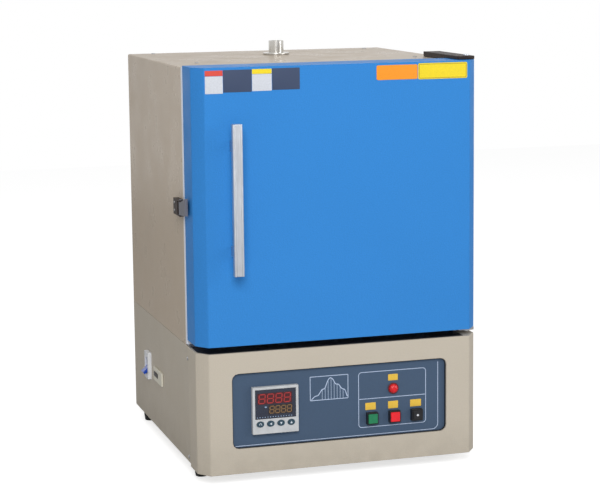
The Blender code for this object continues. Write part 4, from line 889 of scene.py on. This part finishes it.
@dataclass
class Latch:
    """The small lever at the casing's left edge and its bracket."""

    edge: float = 0.5
    screw_radius: float = 2.0
    screw_rise: float = 1.0
    screws: tuple = ((32.0, 422.8), (32.0, 410.8))

    def build(self) -> None:
        """Finishes the bracket and lever and sets the bracket's screws."""
        softened("latch_bracket", Finishes.dark_steel, self.edge)
        softened("latch_lever", Finishes.lever_steel, self.edge)
        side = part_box("latch_bracket")[0].x / MM - LAYOUT[0]
        head = cross_screw(self.screw_radius, self.screw_rise)
        heads = [placed(head, Facing.LEFT, side, y, z) for y, z in self.screws]
        add_shell("latch_screws", joined(heads), Finishes.zinc)


@dataclass
class Base:
    """The base's tub, front bezel, rear panel, feet and side screws, with black painted shade under the door
    and round the window.
    """

    edge: float = 1.2
    tub_edge: float = 0.5
    # The outline and thickness of the black sheet of painted shade under the door.
    sheet: tuple = ((-221.4, 0.5), (-221.4, -47.6), (-206.8, -66.8), (200.0, -66.8), (200.0, 0.5))
    sheet_thick: float = 0.5
    window: tuple = (-174.0, 171.0, 54.55, 171.05)
    # Width and height of the black rim of painted shade round the window.
    painted_shade_rim: tuple = (1.1, 2.6)
    panel_face: float = -64.6
    foot_edge: float = 1.0
    screw: tuple = (3.2, 1.5)
    screw_turns: tuple = (15.0, 40.0)
    side_screws: tuple = ((0.0, 185.0), (1.6, 29.8))
    rear_screws: tuple = ((-212.0, 40.0), (212.0, 40.0), (-212.0, 185.0), (212.0, 185.0))

    def painted_shade_sheet(self) -> None:
        """A thin black sheet on the base's top under the door, as painted shade for the dark gap below the
        door.
        """
        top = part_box("base_front_bezel")[1].z / MM
        sheet = plate(np.array(self.sheet), self.sheet_thick)
        # Painted shade: the black sheet stands for the shadow in the gap under the door.
        add_shell("black_painted_shade_sheet", placed(sheet, Facing.TOP, 0.0, 0.0, top + LIFT), Finishes.black)

    def window_painted_shade_rim(self) -> None:
        """A black strip round the inside of the bezel's window, painted shade for the shadow that its edges
        cast on the panel: a rectangle carried along its outline.
        """
        left, right, low, high = self.window
        wide, tall = self.painted_shade_rim
        outline = rounded_outline(right - left - wide - 0.3, high - low - wide - 0.3, 10 - wide / 2, 8)
        strip = line(outline, wide, tall, True).moved((left + right) / 2, (low + high) / 2)
        strip = placed(strip, Facing.FRONT, 0.0, self.panel_face - LIFT, 0.0)
        # Painted shade: the black strip stands for the shadow of the window's edges on the panel.
        add_shell("window_painted_shade_rim", strip, Finishes.black)

    def build(self) -> None:
        """Finishes the sheets and feet and sets the screws."""
        softened("base_tub", Finishes.beige, self.tub_edge)
        softened("base_front_bezel", Finishes.beige, self.edge)
        dressed("base_rear_panel", Finishes.beige)
        # Painted shade: a black sheet under the door and a black rim round the window.
        self.painted_shade_sheet()
        self.window_painted_shade_rim()
        for place in ("front_left", "front_right", "rear_left", "rear_right"):
            softened(f"foot_{place}", Finishes.rubber, self.foot_edge)
        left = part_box("base_tub")[0].x / MM - LAYOUT[0]
        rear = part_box("base_rear_panel")[1].y / MM - LAYOUT[1]
        screw = cross_screw(*self.screw)
        on_left, on_right = (screw.turned(turn) for turn in self.screw_turns)
        heads = [placed(on_left, Facing.LEFT, left, y, z) for y, z in self.side_screws]
        heads += [placed(on_right, Facing.RIGHT, -left, y, z) for y, z in self.side_screws]
        heads += [placed(screw, Facing.REAR, x, rear, z) for x, z in self.rear_screws]
        add_shell("base_screws", joined(heads), Finishes.zinc)


@dataclass
class ControlPanel:
    """The panel film with its printed lines, graph and blank label plates."""

    plane: float = -64.6
    ink: float = 0.12
    graph: tuple = (-49.5, 11.3, 119.0, 156.0)
    group: tuple = (28.5, 138.6, 70.0, 156.8)
    divider: float = 114.7
    border: tuple = (-168.7, 158.8, 57.8, 165.0)
    labels: tuple = ((76.7, 92.6, 140.8, 150.7), (39.2, 56.3, 97.0, 108.3), (76.5, 92.9, 96.6, 108.1),
                     (112.8, 130.9, 96.6, 107.7))
    steps: tuple = ((0.03, 0.02), (0.12, 0.16), (0.21, 0.19), (0.31, 0.44), (0.39, 0.47), (0.45, 0.76),
                    (0.5, 0.9), (0.54, 0.93), (0.6, 0.86), (0.67, 0.63), (0.75, 0.62), (0.83, 0.42),
                    (0.92, 0.36), (0.98, 0.06))

    def put(self, shell: Shell, out: float = LIFT) -> Shell:
        """A flat shell, drawn in the layout's across and height, set on the panel's face."""
        return placed(shell, Facing.FRONT, 0.0, self.plane - out, 0.0)

    def curve(self) -> np.ndarray:
        """The graph's curve: heating steps up to a peak and down again, as shares of its frame."""
        left, right, low, high = self.graph
        across, rise = np.array(self.steps).T
        fine = np.linspace(across[0], across[-1], 61)
        level = np.interp(fine, across, rise)
        level[1:-1] = (level[:-2] + 2 * level[1:-1] + level[2:]) / 4
        return np.column_stack((left + fine * (right - left), low + 0.5 + level * (high - low - 1)))

    def hatching(self) -> list:
        """Upright strokes under the curve, one for every few of its points."""
        low = self.graph[2] + 0.6
        return [line(np.array(((x, low), (x, top - 0.6))), 0.6, self.ink) for x, top in self.curve()[18:-3:5]
                if top - low > 1.5]

    def build(self) -> None:
        """Finishes the panel, prints the lines and sets the label plates."""
        softened("control_panel", Finishes.film, 0.3, 2)
        left, right, low, high = self.graph
        frame_line = line(rounded_outline(right - left, high - low, 0.6, 2), 1.0, self.ink, True)
        strokes = [frame_line.moved((left + right) / 2, (low + high) / 2), line(self.curve(), 1.2, self.ink)]
        strokes += self.hatching()
        left, right, low, high = self.group
        outline = line(rounded_outline(right - left, high - low, 5.0, 6), 0.95, self.ink, True)
        strokes.append(outline.moved((left + right) / 2, (low + high) / 2))
        strokes.append(line(np.array(((left, self.divider), (right, self.divider))), 0.95, self.ink))
        left, right, low, high = self.border
        turn = np.linspace(-math.pi / 2, 0, 8)
        corner = np.column_stack((right - 9 + 9 * np.cos(turn), low + 9 + 9 * np.sin(turn)))
        strokes.append(line(np.concatenate((((left, low),), corner, ((right, high),))), 0.95, self.ink))
        print_shell = joined(strokes)
        add_shell("panel_print", self.put(print_shell), Finishes.line_ink)
        plates = [slab(right - left, high - low, 0.3, 0.8, 0.15).moved((left + right) / 2, (low + high) / 2)
                  for left, right, low, high in self.labels]
        add_shell("panel_label_plates", self.put(joined(plates)), Finishes.label_plate)


@dataclass
class Controller:
    """The temperature controller: bezel, dark window, lit digits and four keys."""

    x: float = -107.0
    window_face: float = -72.5
    key_face: float = -74.1
    key_height: float = 90.85
    key_places: tuple = (-24.45, -8.15, 8.15, 24.45)
    red_row: tuple = (-133.6, 123.2, 9.4, 13.6, 13.3)
    amber_row: tuple = (-116.6, 107.2, 6.6, 10.6, 9.2)
    backs: tuple = (("red", -135.7, -81.0, 121.4, 138.6), ("amber", -118.4, -80.4, 105.4, 119.8))

    def segments(self, width: float, height: float) -> list:
        """The seven bars of a digit, each a six-sided outline along its own line.

        A bar runs between two of the digit's six corners, drawn in by its half width, with pointed ends.

        Args:
            width: of the digit.
            height: of the digit.

        Returns:
            Seven shells, with the digit's lower left corner at zero.
        """
        half = width * 0.085
        ends = np.array(((0, height, width, height), (0, height / 2, width, height / 2), (0, 0, width, 0),
                         (0, 0, 0, height / 2), (0, height / 2, 0, height), (width, 0, width, height / 2),
                         (width, height / 2, width, height)), float)
        start, stop = ends[:, :2], ends[:, 2:]
        along = (stop - start) / np.linalg.norm(stop - start, axis=1, keepdims=True)
        side = np.stack((-along[:, 1], along[:, 0]), -1) * half
        start, stop = start + along * half * 1.25, stop - along * half * 1.25
        tip = along * half
        outlines = np.stack((start - tip * 0.6, start + side, stop + side, stop + tip * 0.6, stop - side,
                             start - side), 1)
        slant = np.array(((1.0, 0.0), (0.08, 1.0)))
        return [plate(outline @ slant, 0.1) for outline in outlines]

    def digits(self, row: tuple) -> Shell:
        """Four digits of a row.

        Args:
            row: the first one's left side and foot, a digit's width and height, and the pitch.

        Returns:
            The row's shell in the layout's across and height.
        """
        left, foot, width, height, pitch = row
        digit = self.segments(width, height)
        bars = [bar.moved(left + place * pitch, foot) for place in range(4) for bar in digit]
        return joined(bars)

    def glyphs(self) -> list:
        """The pale marks on the keys: a bent arrow, and arrowheads to the left, down and up."""
        turn = np.radians(np.linspace(-40, 230, 16))
        ring = line(np.column_stack((np.cos(turn), np.sin(turn))) * 1.7, 0.7, 0.1)
        head = plate(np.array(((-1.9, -1.6), (1.9, -1.6), (0.0, 1.9))), 0.1)
        return [ring, head.turned(90.0), head.turned(180.0), head]

    def build(self) -> None:
        """Finishes the case and keys, and sets the digits, dots and key marks."""
        softened("controller_body", Finishes.grey, 0.7)
        softened("controller_window", Finishes.window, 0.4, 2)
        face = self.window_face - 0.12
        for name, left, right, low, high in self.backs:
            back = slab(right - left, high - low, 0.1, 0.6)
            middle = (left + right) / 2, self.window_face - LIFT / 2, (low + high) / 2
            back = placed(back, Facing.FRONT, *middle)
            add_shell(f"controller_{name}_back", back, getattr(Finishes, f"{name}_back"))
        for name, row in (("red", self.red_row), ("amber", self.amber_row)):
            digits = placed(self.digits(row), Facing.FRONT, 0, face, 0)
            add_shell(f"controller_digits_{name}", digits, getattr(Finishes, f"{name}_digit"))
        dot = turned_shell(((0.75, 0.0), (0.75, 0.1)), 14)
        dots = [dot.moved(x, 101.4) for x in np.linspace(-136.0, -82.0, 14)]
        dots += [slab(3.0, 2.0, 0.1, 0.4).moved(-122.6, 117.0)]
        dots = placed(joined(dots), Facing.FRONT, 0, face, 0)
        add_shell("controller_dots", dots, Finishes.pale_dot)
        for number, (offset, glyph) in enumerate(zip(self.key_places, self.glyphs()), 1):
            softened(f"controller_key_{number}", Finishes.key, 0.5)
            mark = placed(glyph, Facing.FRONT, self.x + offset, self.key_face - LIFT, self.key_height)
            add_shell(f"key_mark_{number}", mark, Finishes.white_ink, body_of(f"controller_key_{number}"))


@dataclass
class Buttons:
    """The three square push buttons and the round lamp over them."""

    dot_x: float = 122.1
    height: float = 84.5
    bezel_edge: float = 0.6
    cap_edge: float = 0.9
    cap_face: float = -74.4
    lamp: tuple = (84.8, 128.3)
    lamp_foot: float = -64.7
    barrel: float = 7.2
    rim: tuple = ((8.8, 0.0), (8.8, 1.4), (8.3, 1.9), (7.7, 1.9), (7.5, 1.2))

    def build(self) -> None:
        """Finishes the bezels and caps, and makes the lamp's collar and lens."""
        caps = {"start": Finishes.green_cap, "stop": Finishes.red_cap, "mode": Finishes.black}
        for name, finish in caps.items():
            softened(f"{name}_button_bezel", Finishes.black, self.bezel_edge)
            softened(f"{name}_button_cap", finish, self.cap_edge)
        dot = turned_shell(((1.7, 0.0), (1.7, 0.25), (1.3, 0.45)), 24)
        dot = placed(dot, Facing.FRONT, self.dot_x, self.cap_face - LIFT, self.height)
        add_shell("mode_button_dot", dot, Finishes.ivory, body_of("mode_button_cap"))
        x, z = self.lamp
        low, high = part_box("heating_lamp")
        front = self.lamp_foot - (low.y / MM - LAYOUT[1])
        rear = self.lamp_foot - (high.y / MM - LAYOUT[1])
        collar = turned_shell(((self.barrel, rear), (self.barrel, 0.0)) + self.rim, 48)
        collar = placed(collar, Facing.FRONT, x, self.lamp_foot, z)
        piece = add_shell("lamp_collar", collar, Finishes.red_collar)
        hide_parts("heating_lamp")
        share = np.linspace(0, math.pi / 2 * 0.97, 12)
        dome = [(7.4, 0.9)] + [(7.4 * math.cos(a), 1.9 + (front - 1.9) * math.sin(a)) for a in share]
        lens = turned_shell(tuple(dome), segments=96, ribs=24, rib_depth=0.05)
        lens = placed(lens, Facing.FRONT, x, self.lamp_foot, z)
        add_shell("lamp_lens", lens, Finishes.red_lens, sharp=60.0)


@dataclass
class SideFittings:
    """The circuit breaker and the signal port on the base's left side."""

    socket: tuple = (204.0, 235.0, 111.5, 4.5)

    def build(self) -> None:
        """Finishes the breaker and port, and lines the port's socket."""
        softened("breaker_body", Finishes.ivory, 0.5)
        softened("breaker_lever", Finishes.blue_toggle, 0.6)
        softened("signal_port", Finishes.cream, 0.4, 2)
        front, rear, z, half = self.socket
        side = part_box("signal_port")[0].x / MM - LAYOUT[0]
        lining = slab(rear - front - 2.4, 2 * half - 2.4, 0.5, 0.8)
        lining = placed(lining, Facing.LEFT, side + 0.4, (front + rear) / 2, z)
        add_shell("port_lining", lining, Finishes.black)


@dataclass
class RearFittings:
    """What the base's rear carries: the fan, the cable gland and the relay inside."""

    def build(self) -> None:
        """Finishes the fan, gland and relay."""
        softened("fan_frame", Finishes.black, 0.5, 2)
        dressed("fan_rotor", Finishes.black)
        softened("cable_gland", Finishes.black, 0.4, 2)
        softened("solid_state_relay", Finishes.cream, 0.5, 2)


@dataclass
class Studio:
    """The floor, the background, the soft lamps and the camera."""

    place: tuple = (-0.8605875, -2.87856, 0.80503)
    yaw: float = 0.294
    pitch: float = 0.1451
    roll: float = -0.0109
    lens: float = 111.811
    shift: float = -0.05
    ambient: float = 0.33
    lamps: tuple = (("key", (-0.9, -2.8, 1.9), 1.4, 58.0), ("fill", (2.2, -1.7, 1.1), 1.2, 17.0),
                    ("overhead", (0.4, 0.3, 3.2), 2.4, 9.0))

    def camera(self) -> None:
        """Sets the camera from its place and its three turns."""
        ahead = Vector((math.sin(self.yaw) * math.cos(self.pitch), math.cos(self.yaw) * math.cos(self.pitch),
                        -math.sin(self.pitch)))
        level = Vector((math.cos(self.yaw), -math.sin(self.yaw), 0.0))
        above = level.cross(ahead)
        right = level * math.cos(self.roll) + above * math.sin(self.roll)
        up = above * math.cos(self.roll) - level * math.sin(self.roll)
        data = bpy.data.cameras.new("camera")
        data.sensor_fit, data.sensor_width = "HORIZONTAL", 36.0
        data.lens, data.shift_x, data.shift_y = self.lens, 0.0, self.shift
        camera = bpy.data.objects.new("camera", data)
        matrix = Matrix.Identity(4)
        for column, axis in enumerate((right, up, -ahead, Vector(self.place))):
            matrix.col[column][:3] = axis
        camera.matrix_world = matrix
        bpy.context.scene.collection.objects.link(camera)
        bpy.context.scene.camera = camera

    def background(self) -> None:
        """A world that is white where it is seen or mirrored, and softer as light."""
        world = bpy.data.worlds.new("studio")
        bpy.context.scene.world = world
        world.use_nodes = True
        nodes, links = world.node_tree.nodes, world.node_tree.links
        shade = nodes["Background"]
        rays = nodes.new("ShaderNodeLightPath")
        seen = None
        for name in ("Is Camera Ray", "Is Glossy Ray", "Is Transmission Ray"):
            if seen is None:
                seen = rays.outputs[name]
                continue
            most = nodes.new("ShaderNodeMath")
            most.operation = "MAXIMUM"
            links.new(seen, most.inputs[0])
            links.new(rays.outputs[name], most.inputs[1])
            seen = most.outputs[0]
        level = nodes.new("ShaderNodeMapRange")
        level.inputs["To Min"].default_value = self.ambient
        level.inputs["To Max"].default_value = 1.0
        links.new(seen, level.inputs["Value"])
        links.new(level.outputs["Result"], shade.inputs["Strength"])
        shade.inputs["Color"].default_value = (1.0, 1.0, 1.0, 1.0)

    def floor(self) -> None:
        """A pale floor that shows white with the object's soft shadow on it."""
        side = np.array(((-4.0, -4.0), (4.0, -4.0), (4.0, 4.0), (-4.0, 4.0)))
        mesh = bpy.data.meshes.new("floor")
        mesh.from_pydata([(x, y, -0.0004) for x, y in side.tolist()], [], [(0, 1, 2, 3)])
        material = bpy.data.materials.new("studio_floor")
        material.use_nodes = True
        nodes, links = material.node_tree.nodes, material.node_tree.links
        nodes.clear()
        rays = nodes.new("ShaderNodeLightPath")
        paint = nodes.new("ShaderNodeBsdfDiffuse")
        paint.inputs["Color"].default_value = (0.75, 0.75, 0.75, 1.0)
        glow = nodes.new("ShaderNodeEmission")
        glow.inputs["Strength"].default_value = 0.7
        none = nodes.new("ShaderNodeEmission")
        none.inputs["Strength"].default_value = 0.0
        seen = nodes.new("ShaderNodeMixShader")
        links.new(rays.outputs["Is Camera Ray"], seen.inputs[0])
        links.new(none.outputs[0], seen.inputs[1])
        links.new(glow.outputs[0], seen.inputs[2])
        both = nodes.new("ShaderNodeAddShader")
        links.new(paint.outputs[0], both.inputs[0])
        links.new(seen.outputs[0], both.inputs[1])
        out = nodes.new("ShaderNodeOutputMaterial")
        links.new(both.outputs[0], out.inputs["Surface"])
        mesh.materials.append(material)
        floor = bpy.data.objects.new("floor", mesh)
        bpy.context.scene.collection.objects.link(floor)

    def light(self) -> None:
        """Soft square lamps, each aimed at the furnace's middle."""
        for name, place, size, power in self.lamps:
            data = bpy.data.lights.new(name, "AREA")
            data.shape, data.size, data.energy = "SQUARE", size, power
            lamp = bpy.data.objects.new(name, data)
            lamp.location = place
            lamp.rotation_euler = (Vector((0, 0, 0.32)) - Vector(place)).to_track_quat("-Z", "Y").to_euler()
            bpy.context.scene.collection.objects.link(lamp)

    def build(self) -> None:
        """Sets the whole studio."""
        view = bpy.context.scene.view_settings
        view.view_transform = "Standard"
        self.camera()
        self.background()
        self.floor()
        self.light()


def main() -> None:
    """Builds every sub-assembly in order."""
    logging.basicConfig(level=logging.INFO, format="%(message)s")
    for assembly in (Studio, Casing, Muffle, Door, Handle, Hinges, Latch, Base, ControlPanel, Controller,
                     Buttons, SideFittings, RearFittings):
        LOG.info("building %s", assembly.__name__)
        assembly().build()


if __name__ == "__main__":
    main()
